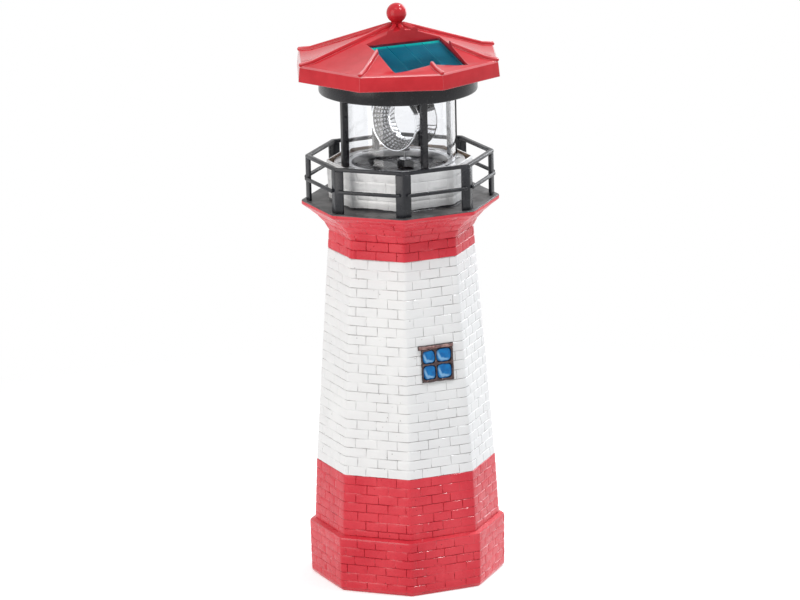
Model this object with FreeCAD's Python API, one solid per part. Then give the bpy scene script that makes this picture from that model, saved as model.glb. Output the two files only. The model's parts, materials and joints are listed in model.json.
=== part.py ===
import FreeCAD, Part
import math
import os

# Garden lighthouse ornament with a solar lantern on top, in millimetres.
# +Z is up, the origin is the middle of the foot's resting face, and -Y is the
# way that the window and the solar panel face.

os.makedirs("parts", exist_ok=True)
V = FreeCAD.Vector
UP = V(0, 0, 1)
SIDES = 8
HALF_SIDE = math.pi / SIDES

# --- driving dimensions: tower casting (radii are to the octagon's corners) ---
PLINTH_FOOT_R = 60.6
PLINTH_TOP_R = 61.1
PLINTH_HEIGHT = 33.9
PLINTH_EDGE = 2.4
SHOULDER_HEIGHT = 1.6
SHAFT_FOOT_R = 57.7
LOWER_BAND_R = 55.8
LOWER_BAND_HEIGHT = 38.1
NECK_R = 44.9
SHAFT_HEIGHT = 146.2
FLARE_HEIGHT = 16.4
FLARE_BEND_R = 47.2
FLARE_BEND_RISE = 7.2
FLARE_STEPS = 7
DECK_R = 61.0
DECK_THICKNESS = 2.8
DECK_EDGE = 0.5
DRUM_FOOT_R = 44.2
DRUM_RIM_R = 45.2
DRUM_HEIGHT = 24.5
CASTING_WALL = 4.5
RIM_WALL = 1.3
SEAT_DEPTH = 4.0
LEDGE_THICKNESS = 4.0
LEDGE_HOLE_GAP = 0.6

# --- driving dimensions: window on the front side ---
WINDOW_WIDTH = 20.6
WINDOW_HEIGHT = 19.8
WINDOW_ABOVE_BAND = 69.5
WINDOW_OFFSET = 0.9
WINDOW_RELIEF = 1.3
WINDOW_BAR = 1.9
LINTEL_WIDTH = 23.2
LINTEL_HEIGHT = 2.2
LINTEL_RELIEF = 1.8
PANE_CROWN = 0.5
PANE_PROUD = 0.1
PANE_GAP = 0.1

# --- driving dimensions: gallery railing ---
RAIL_INSET = 2.9
RAIL_HEIGHT = 28.3
POST_LEG = 5.2
POST_THICKNESS = 1.6
HANDRAIL_HEIGHT = 2.2
HANDRAIL_WIDTH = 2.8
HANDRAIL_EDGE = 0.4
MID_RAIL_LEVEL = 13.7
MID_RAIL_HEIGHT = 2.2
MID_RAIL_WIDTH = 1.8
MID_RAIL_END = 2.0

# --- driving dimensions: lantern ---
SEAT_GAP = 0.25
BASE_THICKNESS = 2.5
BASE_OPENING_R = 29.6
BASE_LIP = 0.8
GLASS_R = 34.5
GLASS_WALL = 1.5
GLASS_HEIGHT = 46.5
FRAME_POST_DEPTH = 3.8
FRAME_POST_WIDTH = 3.4
FRAME_RING_HEIGHT = 2.6
FRAME_GAP = 0.1
TRAY_R = 48.7
TRAY_WALL = 1.6
TRAY_FLOOR = 2.1
TRAY_RECESS = 2.6
TRAY_HEIGHT = 14.6
TRAY_EDGE = 1.2
REAR_ANGLE = 90
LEAD_R = 0.45
LEAD_SPACING = 1.4
LEAD_GAP = 0.1
LEAD_TAIL = 4.0
POST_SCREW_LENGTH = 6.5
DRAIN_R = 1.3
DRAIN_PLACE_R = 36.4
DRAIN_ANGLE = -18.8

# --- driving dimensions: roof ---
FASCIA_BELOW_TRAY_TOP = 2.7
FASCIA_R = 66.1
FASCIA_TOP_R = 65.2
FASCIA_HEIGHT = 8.8
EAVE_EDGE = 1.0
EAVE_R = 57.0
EAVE_RISE = 0.9
BREAK_R = 50.0
BREAK_RISE = 3.2
APEX_R = 4.6
APEX_RISE = 19.4
ROOF_WALL = 2.0
ROOF_PEAK_INSET = 0.6
BOSS_COLUMN_R = 3.2
ROOF_SCREW_LENGTH = 12.0
ROOF_PILOT_DEPTH = 14.0
RIB_WIDTH = 2.8
RIB_HEIGHT = 2.0
RIB_SINK = 0.6
BALL_R = 6.2
BALL_RISE = 33.4
FINIAL_NECK_R = 3.4
FINIAL_PEG_R = 2.0
FINIAL_PEG_LENGTH = 7.0
FINIAL_SOCKET_DEPTH = 20.0
PEG_GAP = 0.05

# --- driving dimensions: solar panel, set in a well in the roof ---
PANEL_WIDTH = 48.4
PANEL_TOP_Y = 8.5
PANEL_LENGTH = 43.0
PANEL_SLOPE = 15.1
PANEL_TOP_RISE = 10.6
PANEL_GAP = 0.2
WELL_WALL = 1.7
SEAL_THICKNESS = 0.4
SEAL_WIDTH = 3.0
BACKING_THICKNESS = 1.2
CELL_THICKNESS = 0.3
CELL_COUNT = 4
CELL_SPACE = 0.8
CELL_MARGIN = 1.2
COVER_THICKNESS = 1.2
PANEL_WIRE_R = 1.6
PANEL_WIRE_INSET = 6.0

# --- driving dimensions: turning reflector ---
SPIN_X = 3.8
REFLECTOR_YAW = -66.4
REFLECTOR_RISE = 25.2
MOUTH_R = 18.3
WAIST_R = 12.0
CUP_DEPTH = 10.3
CUP_WALL = 0.9
CUP_RINGS = 6
CUP_STEP = 0.35
CUP_CURVE = 0.8
RIM_WIDTH = 0.8
RIM_INSET = 0.9
RIM_FACE = 0.6
SHAFT_R = 1.2
SHAFT_CLEARANCE = 0.05
COLLAR_R = 3.7
COLLAR_THICKNESS = 0.8
COLLAR_GAP = 0.3
HUB_R = 3.2
HUB_FOOT = 5.8
HUB_GRIP = 4.0
LED_R = 2.5
LED_BODY_LENGTH = 7.0
LED_LENGTH = 8.0
LED_FLANGE = 0.4
LED_POST_R = 3.2
LED_WIRE_R = 2.5
LAMP_CLEARANCE = 1.2
LED_BOARD_LENGTH = 18.0
LED_BOARD_WIDTH = 14.0
LED_TIP_RISE = 34.3

# --- driving dimensions: drive housing in the tower's neck ---
HOUSING_GAP = 3.2
HOUSING_WALL = 1.6
HOUSING_DEPTH = 38.5
FLOOR_DROP = 3.8
FLOOR_THICKNESS = 1.8
BOSS_R = 5.2
BOSS_HEIGHT = 3.8
BUSH_R = 2.6
DISH_GAP = 0.1
GEAR_MODULE = 0.35
WHEEL_TEETH = 50
PINION_TEETH = 10
GEAR_THICKNESS = 1.9
GEAR_SPACE = 0.8
TOOTH_PLAY = 0.07
CENTRE_PLAY = 0.08
PRESSURE_ANGLE = 20.0
ADDENDUM = 0.95
DEDENDUM = 1.2
ROOT_STEP = 0.02
GEAR_HUB_R = 2.6
IDLER_FOOT_R = 1.6
GEAR_END_PLAY = 0.3
GEAR_FOOT_PLAY = 0.2
PINION_OVERHANG = 0.2
IDLER_ANGLE = 150.0
MOTOR_ANGLE = 50.0
PIN_R = 0.8
GEAR_PLATE_THICKNESS = 1.6
GEAR_PLATE_GAP = 0.2
LEAD_PASS_R = 3.0
LEAD_PASS_INSET = 4.0
MOTOR_R = 6.0
MOTOR_FLAT = 5.0
MOTOR_LENGTH = 17.5
MOTOR_SHAFT_R = 0.75
MOTOR_SHAFT_GRIP = 5.0
MOTOR_SHAFT_GAP = 0.1
MOTOR_HOLE_GAP = 0.6
MOTOR_BORE_TAIL = 0.5
COVER_PLATE = 2.0
CELL_R = 5.25
CELL_LENGTH = 44.5
CELL_Y = -9.5
CELL_CLEARANCE = 0.4
CELL_BUTTON_R = 1.8
CELL_BUTTON_LENGTH = 1.0
HOLDER_WALL = 1.2
CONTACT_LENGTH = 2.2
CONTACT_GAP = 0.1
CONTACT_SIZE = 6.0
COIL_WIDE_R = 3.4
COIL_NARROW_R = 2.2
DOOR_THICKNESS = 1.4
DOOR_GAP = 0.3
DOOR_LIP = 1.0
DOOR_SIDE_MARGIN = 0.9
DOOR_END_INSET = 0.6
DOOR_RIB_X = 6.0
DOOR_RIB_WIDTH = 1.4
DOOR_RIB_LENGTH = 8.0
DOOR_RIB_HEIGHT = 0.9
DOOR_RIB_ROOT = 0.2
KNOB_TRAVEL = 3.0
KNOB_SIZE = 3.0
KNOB_Y = 13.0
KNOB_X = -9.0
KNOB_GAP = 0.3
KNOB_PROUD = 1.2
KNOB_HEADROOM = 0.2
SWITCH_LENGTH = 13.0
SWITCH_WIDTH = 6.0
SWITCH_HEIGHT = 4.4
BOARD_LENGTH = 36.0
BOARD_WIDTH = 16.0
BOARD_THICKNESS = 1.2
BOARD_SHIFT = 2.0
INDUCTOR = (-13.0, 2.0)
INDUCTOR_R = 2.6
INDUCTOR_HEIGHT = 5.0
CHIP = (9.0, 14.0, -1.0, 3.0)
CHIP_HEIGHT = 1.5
CAPACITOR = (15.0, 6.5)
CAPACITOR_R = 2.0
CAPACITOR_HEIGHT = 6.0

# --- fasteners ---
SCREW_R = 1.2
SCREW_HEAD_R = 2.3
SCREW_HEAD_HEIGHT = 1.3
SCREW_HOLE_GAP = 0.1
SCREW_TIP_R = 0.3
SCREW_POINT = 1.0
SCREW_RUN_OUT = 1.5
TRAY_HOLE_LENGTH = 8.0
COVER_SCREW_LENGTH = 8.0
COVER_SCREW_INSET = 2.1
COVER_PILOT_DEPTH = 9.0
PAN_HEAD_R = 2.1
PAN_HEAD_HEIGHT = 1.4
PLATE_SCREW_REACH = 5.0
PLATE_SCREW_INSET = 6.2
PLATE_PILOT_TAIL = 0.3
COLUMN_R = 2.6
COVER_COLUMN_HEIGHT = 14.0
COLUMN_ROOT = 0.5

# --- levels that follow from the sizes above ---
SHOULDER_Z = PLINTH_HEIGHT + SHOULDER_HEIGHT
BAND_Z = SHOULDER_Z + LOWER_BAND_HEIGHT
NECK_Z = BAND_Z + SHAFT_HEIGHT
DECK_Z = NECK_Z + FLARE_HEIGHT + DECK_THICKNESS
RIM_Z = DECK_Z + DRUM_HEIGHT
LEDGE_Z = RIM_Z - SEAT_DEPTH
BASE_Z = LEDGE_Z + BASE_THICKNESS
FLOOR_Z = BASE_Z - FLOOR_DROP
CEILING_Z = FLOOR_Z - FLOOR_THICKNESS
HOUSING_FOOT_Z = LEDGE_Z - HOUSING_DEPTH
GLASS_TOP_Z = BASE_Z + GLASS_HEIGHT
TRAY_Z = GLASS_TOP_Z - TRAY_RECESS
TRAY_TOP_Z = TRAY_Z + TRAY_HEIGHT
FASCIA_Z = TRAY_TOP_Z - FASCIA_BELOW_TRAY_TOP
EAVE_Z = FASCIA_Z + FASCIA_HEIGHT
APEX_Z = EAVE_Z + APEX_RISE
BALL_Z = TRAY_TOP_Z + BALL_RISE
PANEL_TOP_Z = EAVE_Z + PANEL_TOP_RISE
REFLECTOR_Z = BASE_Z + REFLECTOR_RISE
BOSS_Z = FLOOR_Z + BOSS_HEIGHT
COLLAR_Z = BOSS_Z + COLLAR_GAP
LED_TIP_Z = BASE_Z + LED_TIP_RISE

# --- radii that follow from the sizes above ---
DRUM_INNER_FLAT = DRUM_RIM_R * math.cos(HALF_SIDE) - RIM_WALL
NECK_INNER_FLAT = NECK_R * math.cos(HALF_SIDE) - CASTING_WALL
BASE_R = DRUM_INNER_FLAT - SEAT_GAP
HOUSING_R = NECK_INNER_FLAT - HOUSING_GAP
HOUSING_INNER_R = HOUSING_R - HOUSING_WALL
LEDGE_HOLE_R = HOUSING_R + LEDGE_HOLE_GAP
RAIL_FLAT = DECK_R * math.cos(HALF_SIDE) - RAIL_INSET
RAIL_R = RAIL_FLAT / math.cos(HALF_SIDE)
POST_INNER_R = GLASS_R + FRAME_GAP
POST_MID_R = POST_INNER_R + FRAME_POST_DEPTH / 2
POST_OUTER_R = POST_INNER_R + FRAME_POST_DEPTH
TRAY_OPENING_R = POST_OUTER_R + FRAME_GAP
ROOF_SCREW_R = (TRAY_OPENING_R + TRAY_R) / 2
GEAR_DISTANCE = GEAR_MODULE * (WHEEL_TEETH + PINION_TEETH) / 2 + CENTRE_PLAY

# --- gear levels, from the housing's ceiling down ---
OUTPUT_GEAR_Z = CEILING_Z - GEAR_SPACE - GEAR_THICKNESS
IDLER_WHEEL_Z = OUTPUT_GEAR_Z - GEAR_SPACE - GEAR_THICKNESS
GEAR_PLATE_Z = IDLER_WHEEL_Z - GEAR_SPACE - GEAR_PLATE_THICKNESS
GEAR_PLATE_TOP_Z = GEAR_PLATE_Z + GEAR_PLATE_THICKNESS

SPIN = V(SPIN_X, 0, 0)
IDLER = SPIN + V(GEAR_DISTANCE * math.cos(math.radians(IDLER_ANGLE)),
                 GEAR_DISTANCE * math.sin(math.radians(IDLER_ANGLE)), 0)
MOTOR = IDLER + V(GEAR_DISTANCE * math.cos(math.radians(MOTOR_ANGLE)),
                  GEAR_DISTANCE * math.sin(math.radians(MOTOR_ANGLE)), 0)


# ---------------------------------------------------------------- helpers

def save(node, shape):
    """Write one sub-part's solids to its STEP file."""
    shape.exportStep("parts/" + node + ".step")


def at(angle, radius, z=0.0):
    """Point at an angle in degrees, a distance from the tower's axis."""
    turn = math.radians(angle)
    return V(radius * math.cos(turn), radius * math.sin(turn), z)


def corner_radius(flat_radius):
    return flat_radius / math.cos(HALF_SIDE)


def octagon(radius, z, first_corner):
    """Octagonal wire; first_corner is the angle of its first corner in degrees."""
    corners = [at(first_corner + 45 * k, radius, z) for k in range(SIDES)]
    return Part.makePolygon(corners + [corners[0]])


def stack(rings, first_corner=22.5):
    """Solid through octagons, given as (corner radius, level) pairs from the bottom up."""
    wires = [octagon(radius, z, first_corner) for radius, z in rings]
    return Part.makeLoft(wires, True, True)


def cylinder(radius, z0, z1, place=None):
    middle = place or V(0, 0, 0)
    return Part.makeCylinder(radius, z1 - z0, V(middle.x, middle.y, z0), UP)


def tube(outer, inner, z0, z1, place=None):
    return cylinder(outer, z0, z1, place).cut(cylinder(inner, z0 - 1, z1 + 1, place))


def block(x0, x1, y0, y1, z0, z1):
    return Part.makeBox(x1 - x0, y1 - y0, z1 - z0, V(x0, y0, z0))


def prism(points, z0, z1):
    """Upright solid on a flat outline of (x, y) pairs."""
    corners = [V(x, y, z0) for x, y in points]
    face = Part.Face(Part.makePolygon(corners + [corners[0]]))
    return face.extrude(V(0, 0, z1 - z0))


def revolved(profile, place=None):
    """Solid of revolution about an upright axis, from (radius, level) pairs."""
    corners = [V(r, 0, z) for r, z in profile]
    face = Part.Face(Part.makePolygon(corners + [corners[0]]))
    solid = face.revolve(V(0, 0, 0), UP, 360)
    solid.translate(place or V(0, 0, 0))
    return solid


def turned(shape, angle, place=None):
    """Copy turned about the upright axis through a place."""
    copy = shape.copy()
    copy.rotate(place or V(0, 0, 0), UP, angle)
    return copy


def group(solids):
    return Part.makeCompound(solids)


def screw(place, head_z, length, direction):
    """Flat-headed screw; direction +1 points it up from its head, -1 points it down."""
    tip = direction * length
    sink = direction * SCREW_HEAD_HEIGHT
    cone = Part.makeCone(SCREW_HEAD_R, SCREW_R, SCREW_HEAD_HEIGHT, V(0, 0, 0), V(0, 0, direction))
    shank = Part.makeCylinder(SCREW_R, length - SCREW_HEAD_HEIGHT, V(0, 0, sink), V(0, 0, direction))
    point = Part.makeCone(SCREW_R, SCREW_TIP_R, SCREW_POINT, V(0, 0, tip), V(0, 0, direction))
    solid = cone.fuse([shank, point]).removeSplitter()
    solid.translate(V(place.x, place.y, head_z))
    return solid


def screw_hole(place, head_z, length, direction):
    """Clearance for one screw: a little larger than the screw all round."""
    gap = SCREW_HOLE_GAP
    sink = direction * SCREW_HEAD_HEIGHT
    cone = Part.makeCone(SCREW_HEAD_R + gap, SCREW_R + gap, SCREW_HEAD_HEIGHT,
                         V(0, 0, 0), V(0, 0, direction))
    shank = Part.makeCylinder(SCREW_R + gap, length + SCREW_RUN_OUT - SCREW_HEAD_HEIGHT,
                              V(0, 0, sink), V(0, 0, direction))
    solid = cone.fuse(shank)
    solid.translate(V(place.x, place.y, head_z))
    return solid


# ---------------------------------------------------------------- tower casting

def flare_rings():
    """Hollow curve from the neck out to the deck's edge, pulled towards one bend point."""
    rings = []
    for step in range(1, FLARE_STEPS + 1):
        share = step / FLARE_STEPS
        start, bend, end = (1 - share) ** 2, 2 * share * (1 - share), share ** 2
        radius = start * NECK_R + bend * FLARE_BEND_R + end * DECK_R
        rings.append((radius, NECK_Z + bend * FLARE_BEND_RISE + end * FLARE_HEIGHT))
    return rings


def foot_rings():
    """Rounded lower edge of the plinth, a quarter circle."""
    rings = []
    for step in range(4):
        turn = math.pi / 2 * step / 3
        radius = PLINTH_FOOT_R - PLINTH_EDGE * (1 - math.sin(turn))
        rings.append((radius, PLINTH_EDGE * (1 - math.cos(turn))))
    return rings


def tower_shell():
    outside = foot_rings() + [
        (PLINTH_TOP_R, PLINTH_HEIGHT),
        (SHAFT_FOOT_R, SHOULDER_Z),
        (LOWER_BAND_R, BAND_Z),
        (NECK_R, NECK_Z),
    ] + flare_rings() + [(DECK_R, DECK_Z - DECK_EDGE), (DECK_R - DECK_EDGE, DECK_Z)]
    solid = stack(outside)
    drum = stack([(DRUM_FOOT_R, DECK_Z - 1), (DRUM_RIM_R, RIM_Z)])
    inset = corner_radius(CASTING_WALL)
    cavity_r = NECK_R - inset
    cavity = stack([
        (PLINTH_FOOT_R - inset, -1),
        (PLINTH_TOP_R - inset, PLINTH_HEIGHT - CASTING_WALL),
        (SHAFT_FOOT_R - inset, SHOULDER_Z),
        (LOWER_BAND_R - inset, BAND_Z),
        (cavity_r, NECK_Z),
        (cavity_r, LEDGE_Z - LEDGE_THICKNESS),
    ])
    recess_r = corner_radius(DRUM_INNER_FLAT)
    recess = stack([(recess_r, LEDGE_Z), (recess_r, RIM_Z + 1)])
    hole = cylinder(LEDGE_HOLE_R, LEDGE_Z - LEDGE_THICKNESS - 1, LEDGE_Z + 1)
    return solid.fuse(drum).cut([cavity, recess, hole]).removeSplitter()


# ---------------------------------------------------------------- window

def window_place():
    """Turns a flat window, drawn at the origin facing -Y, onto the leaning front side."""
    lean = math.atan2((LOWER_BAND_R - NECK_R) * math.cos(HALF_SIDE), SHAFT_HEIGHT)
    share = WINDOW_ABOVE_BAND / SHAFT_HEIGHT
    radius = LOWER_BAND_R + (NECK_R - LOWER_BAND_R) * share
    middle = V(WINDOW_OFFSET, -radius * math.cos(HALF_SIDE), BAND_Z + WINDOW_ABOVE_BAND)
    return FreeCAD.Placement(middle, FreeCAD.Rotation(V(1, 0, 0), -math.degrees(lean)))


def on_window(shape):
    copy = shape.copy()
    copy.Placement = window_place().multiply(copy.Placement)
    return copy


def window_frame():
    """Frame with a cross of glazing bars, laid on the wall."""
    w = WINDOW_WIDTH / 2
    h = WINDOW_HEIGHT / 2
    frame = block(-w, w, -WINDOW_RELIEF, 0, -h, h)
    holes = []
    for x0, x1, z0, z1 in pane_spans():
        holes.append(block(x0, x1, -WINDOW_RELIEF - 1, 1, z0, z1))
    return on_window(frame.cut(holes))


def pane_spans():
    """The four panes' openings, as x and z limits in the window's own plane."""
    w = WINDOW_WIDTH / 2
    h = WINDOW_HEIGHT / 2
    bar = WINDOW_BAR
    across = [(-w + bar, -bar / 2), (bar / 2, w - bar)]
    upright = [(-h + bar, -bar / 2), (bar / 2, h - bar)]
    return [(x0, x1, z0, z1) for x0, x1 in across for z0, z1 in upright]


def window_panes():
    """Four glossy panes whose faces bulge a little."""
    panes = []
    for x0, x1, z0, z1 in pane_spans():
        a = (x1 - x0) / 2 - PANE_GAP
        b = (z1 - z0) / 2 - PANE_GAP
        reach = math.hypot(a, b)
        ball_r = (reach * reach + PANE_CROWN * PANE_CROWN) / (2 * PANE_CROWN)
        body = block(-a, a, -WINDOW_RELIEF, 0, -b, b)
        dome = Part.makeSphere(ball_r, V(0, ball_r - WINDOW_RELIEF + PANE_PROUD, 0))
        pane = body.common(dome)
        pane.translate(V((x0 + x1) / 2, 0, (z0 + z1) / 2))
        panes.append(on_window(pane))
    return group(panes)


def window_lintel():
    w = LINTEL_WIDTH / 2
    z0 = WINDOW_HEIGHT / 2
    return on_window(block(-w, w, -LINTEL_RELIEF, 0, z0, z0 + LINTEL_HEIGHT))


# ---------------------------------------------------------------- gallery railing

def gallery_posts():
    """Eight folded posts, one on each corner of the deck."""
    posts = []
    for k in range(SIDES):
        angle = 22.5 + 45 * k
        corner = at(angle, RAIL_R)
        inner = at(angle, RAIL_R - corner_radius(POST_THICKNESS))
        left = (at(angle + 45, RAIL_R) - corner).normalize()
        right = (at(angle - 45, RAIL_R) - corner).normalize()
        left_in = at(angle + 22.5, -POST_THICKNESS)
        right_in = at(angle - 22.5, -POST_THICKNESS)
        outline = [
            corner,
            corner + left * POST_LEG,
            corner + left * POST_LEG + left_in,
            inner,
            corner + right * POST_LEG + right_in,
            corner + right * POST_LEG,
        ]
        points = [(p.x, p.y) for p in outline]
        posts.append(prism(points, DECK_Z, DECK_Z + RAIL_HEIGHT - HANDRAIL_HEIGHT))
    return group(posts)


def gallery_handrail():
    """Closed eight-sided rail on top of the posts, with its upper edges broken."""
    z1 = DECK_Z + RAIL_HEIGHT
    z0 = z1 - HANDRAIL_HEIGHT
    edge = HANDRAIL_EDGE
    inner = corner_radius(RAIL_FLAT - HANDRAIL_WIDTH)
    outside = stack([(RAIL_R, z0), (RAIL_R, z1 - edge), (RAIL_R - edge, z1)])
    inside = stack([
        (inner, z0 - 1),
        (inner, z1 - edge),
        (inner + edge, z1),
        (inner + edge, z1 + 1),
    ])
    return outside.cut(inside)


def gallery_mid_rail():
    """Eight round-ended bars laid on the outer faces of the posts."""
    reach = RAIL_FLAT * math.tan(HALF_SIDE) - MID_RAIL_END
    z = DECK_Z + MID_RAIL_LEVEL
    r = MID_RAIL_HEIGHT / 2
    x0 = RAIL_FLAT
    x1 = RAIL_FLAT + MID_RAIL_WIDTH
    bar = block(x0, x1, -reach + r, reach - r, z - r, z + r)
    ends = []
    for y in (-reach + r, reach - r):
        ends.append(Part.makeCylinder(r, x1 - x0, V(x0, y, z), V(1, 0, 0)))
    bar = bar.fuse(ends).removeSplitter()
    return group([turned(bar, 45 * k) for k in range(SIDES)])


# ---------------------------------------------------------------- lantern base and glass

def post_angles():
    return [90 * k for k in range(4)]


def post_screw_places():
    """One screw under each post but the rear one, which holds the leads."""
    return [at(angle, POST_MID_R) for angle in post_angles() if angle != REAR_ANGLE]


def lantern_base():
    """Round seat that drops into the drum, with the posts' screws and two drain holes."""
    solid = cylinder(BASE_R, LEDGE_Z, BASE_Z)
    lip = cylinder(BASE_OPENING_R + BASE_LIP, FLOOR_Z, LEDGE_Z)
    holes = [cylinder(BASE_OPENING_R, FLOOR_Z - 1, BASE_Z + 1)]
    for place in post_screw_places():
        holes.append(screw_hole(place, LEDGE_Z, POST_SCREW_LENGTH, 1))
    for k in range(2):
        place = at(DRAIN_ANGLE + 180 * k, DRAIN_PLACE_R)
        holes.append(cylinder(DRAIN_R, LEDGE_Z - 1, BASE_Z + 1, place))
    for place in lead_places():
        holes.append(cylinder(LEAD_R + LEAD_GAP, LEDGE_Z - 1, BASE_Z + 1, place))
    return solid.fuse(lip).cut(holes).removeSplitter()


def lamp_glass():
    """Clear tube round the reflector."""
    return tube(GLASS_R, GLASS_R - GLASS_WALL, BASE_Z, GLASS_TOP_Z)


def lead_places():
    """Centres of the two leads inside the rear post."""
    return [V(side * LEAD_SPACING / 2, POST_MID_R, 0) for side in (-1, 1)]


def lantern_frame():
    """Four posts with a ring on top that the tray's underside takes in."""
    top = TRAY_Z + FRAME_RING_HEIGHT
    half = FRAME_POST_WIDTH / 2
    reach = POST_OUTER_R + 2
    wall = tube(POST_OUTER_R, POST_INNER_R, BASE_Z, top)
    bars = [
        block(-reach, reach, -half, half, BASE_Z - 2, TRAY_Z + 1),
        block(-half, half, -reach, reach, BASE_Z - 2, TRAY_Z + 1),
    ]
    gaps = cylinder(POST_OUTER_R + 1, BASE_Z - 1, TRAY_Z).cut(bars)
    holes = []
    for place in post_screw_places():
        holes.append(cylinder(SCREW_R, BASE_Z - 1, LEDGE_Z + POST_SCREW_LENGTH + 1, place))
    for place in lead_places():
        holes.append(cylinder(LEAD_R + LEAD_GAP, BASE_Z - 1, top + 1, place))
    return wall.cut(gaps).cut(holes)


def frame_screws():
    return group([screw(place, LEDGE_Z, POST_SCREW_LENGTH, 1) for place in post_screw_places()])


def supply_leads():
    """Two thin wires that run down inside the rear post, from the tray to the housing."""
    top = TRAY_Z + TRAY_RECESS + TRAY_WALL + LEAD_TAIL
    return group([cylinder(LEAD_R, LEDGE_Z + LEAD_GAP, top, place) for place in lead_places()])


# ---------------------------------------------------------------- lamp tray and roof

def roof_screw_places():
    return [at(45 + 90 * k, ROOF_SCREW_R) for k in range(4)]


def lamp_tray():
    """Round black pan under the roof; its underside holds the glass and the frame."""
    edge = TRAY_EDGE
    step = TRAY_Z + TRAY_RECESS
    profile = [
        (0, step),
        (TRAY_OPENING_R, step),
        (TRAY_OPENING_R, TRAY_Z),
        (TRAY_R - edge, TRAY_Z),
        (TRAY_R - edge * 0.3, TRAY_Z + edge * 0.3),
        (TRAY_R, TRAY_Z + edge),
        (TRAY_R, TRAY_TOP_Z),
        (TRAY_R - TRAY_WALL, TRAY_TOP_Z),
        (TRAY_R - TRAY_WALL, TRAY_Z + TRAY_FLOOR),
        (TRAY_OPENING_R + TRAY_WALL, TRAY_Z + TRAY_FLOOR),
        (TRAY_OPENING_R + TRAY_WALL, step + TRAY_WALL),
        (0, step + TRAY_WALL),
    ]
    holes = [screw_hole(place, TRAY_Z, TRAY_HOLE_LENGTH, 1) for place in roof_screw_places()]
    holes.append(cylinder(LED_WIRE_R, step - 1, step + TRAY_WALL + 1, SPIN))
    for place in lead_places():
        holes.append(cylinder(LEAD_R + LEAD_GAP, step - 1, step + TRAY_WALL + 1, place))
    return revolved(profile).cut(holes)


def roof_screws():
    return group([screw(place, TRAY_Z, ROOF_SCREW_LENGTH, 1) for place in roof_screw_places()])


def roof_rings(drop, inset):
    """Octagon rings of the roof's slopes, from the eave up, lowered and drawn in."""
    return [
        (EAVE_R - inset, EAVE_Z + EAVE_RISE + EAVE_EDGE - drop),
        (BREAK_R - inset, EAVE_Z + BREAK_RISE + EAVE_EDGE - drop),
        (APEX_R, APEX_Z - drop),
    ]


def roof_outside():
    start = [
        (FASCIA_R, FASCIA_Z),
        (FASCIA_TOP_R, EAVE_Z),
        (FASCIA_TOP_R - EAVE_EDGE, EAVE_Z + EAVE_EDGE),
    ]
    return stack(start + roof_rings(0, 0), 0)


def roof_inside():
    inset = corner_radius(ROOF_WALL)
    start = [
        (FASCIA_R - inset, FASCIA_Z - 1),
        (FASCIA_TOP_R - inset, EAVE_Z + EAVE_EDGE - ROOF_WALL),
    ]
    return stack(start + roof_rings(ROOF_WALL, ROOF_PEAK_INSET), 0)


def rib_profile():
    """Points along the top of a rib, as (distance out, level) pairs."""
    rings = roof_rings(0, 0)
    return [(FASCIA_TOP_R - EAVE_EDGE, EAVE_Z + EAVE_EDGE)] + rings


def roof_ribs():
    """Round-topped rib along each hip, from the neck to the eave corner."""
    line = [(r, z + RIB_HEIGHT - RIB_WIDTH / 2) for r, z in rib_profile()]
    sink = RIB_HEIGHT + RIB_SINK
    outline = [V(r, 0, z) for r, z in line]
    floor = [V(r, 0, z - sink) for r, z in reversed(line)]
    web = Part.Face(Part.makePolygon(outline + floor + [outline[0]]))
    web.translate(V(0, -RIB_WIDTH / 2, 0))
    rib = web.extrude(V(0, RIB_WIDTH, 0))
    crowns = []
    for a, b in zip(outline, outline[1:]):
        crowns.append(Part.makeCylinder(RIB_WIDTH / 2, (b - a).Length, a, b - a))
    for p in outline:
        crowns.append(Part.makeSphere(RIB_WIDTH / 2, p))
    rib = rib.fuse(crowns)
    return [turned(rib, 45 * k) for k in range(SIDES)]


def panel_column(grow):
    """Upright column over the panel's outline, grown by a margin all round."""
    w = PANEL_WIDTH / 2 + grow
    y0 = -PANEL_TOP_Y - PANEL_LENGTH * math.cos(math.radians(PANEL_SLOPE)) - grow
    y1 = -PANEL_TOP_Y + grow
    return block(-w, w, y0, y1, FASCIA_Z, BALL_Z)


def slant(top, bottom):
    """Slab in the panel's slant, between two depths below the panel's upper face."""
    wide = 2 * FASCIA_R
    slab = block(-wide, wide, -wide, wide, -bottom, -top)
    slab.rotate(V(0, 0, 0), V(1, 0, 0), PANEL_SLOPE)
    slab.translate(V(0, -PANEL_TOP_Y, PANEL_TOP_Z))
    return slab


def panel_layer(top, bottom, grow=0.0):
    return panel_column(grow).common(slant(top, bottom))


def panel_depth():
    return SEAL_THICKNESS + BACKING_THICKNESS + CELL_THICKNESS + COVER_THICKNESS


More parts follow.
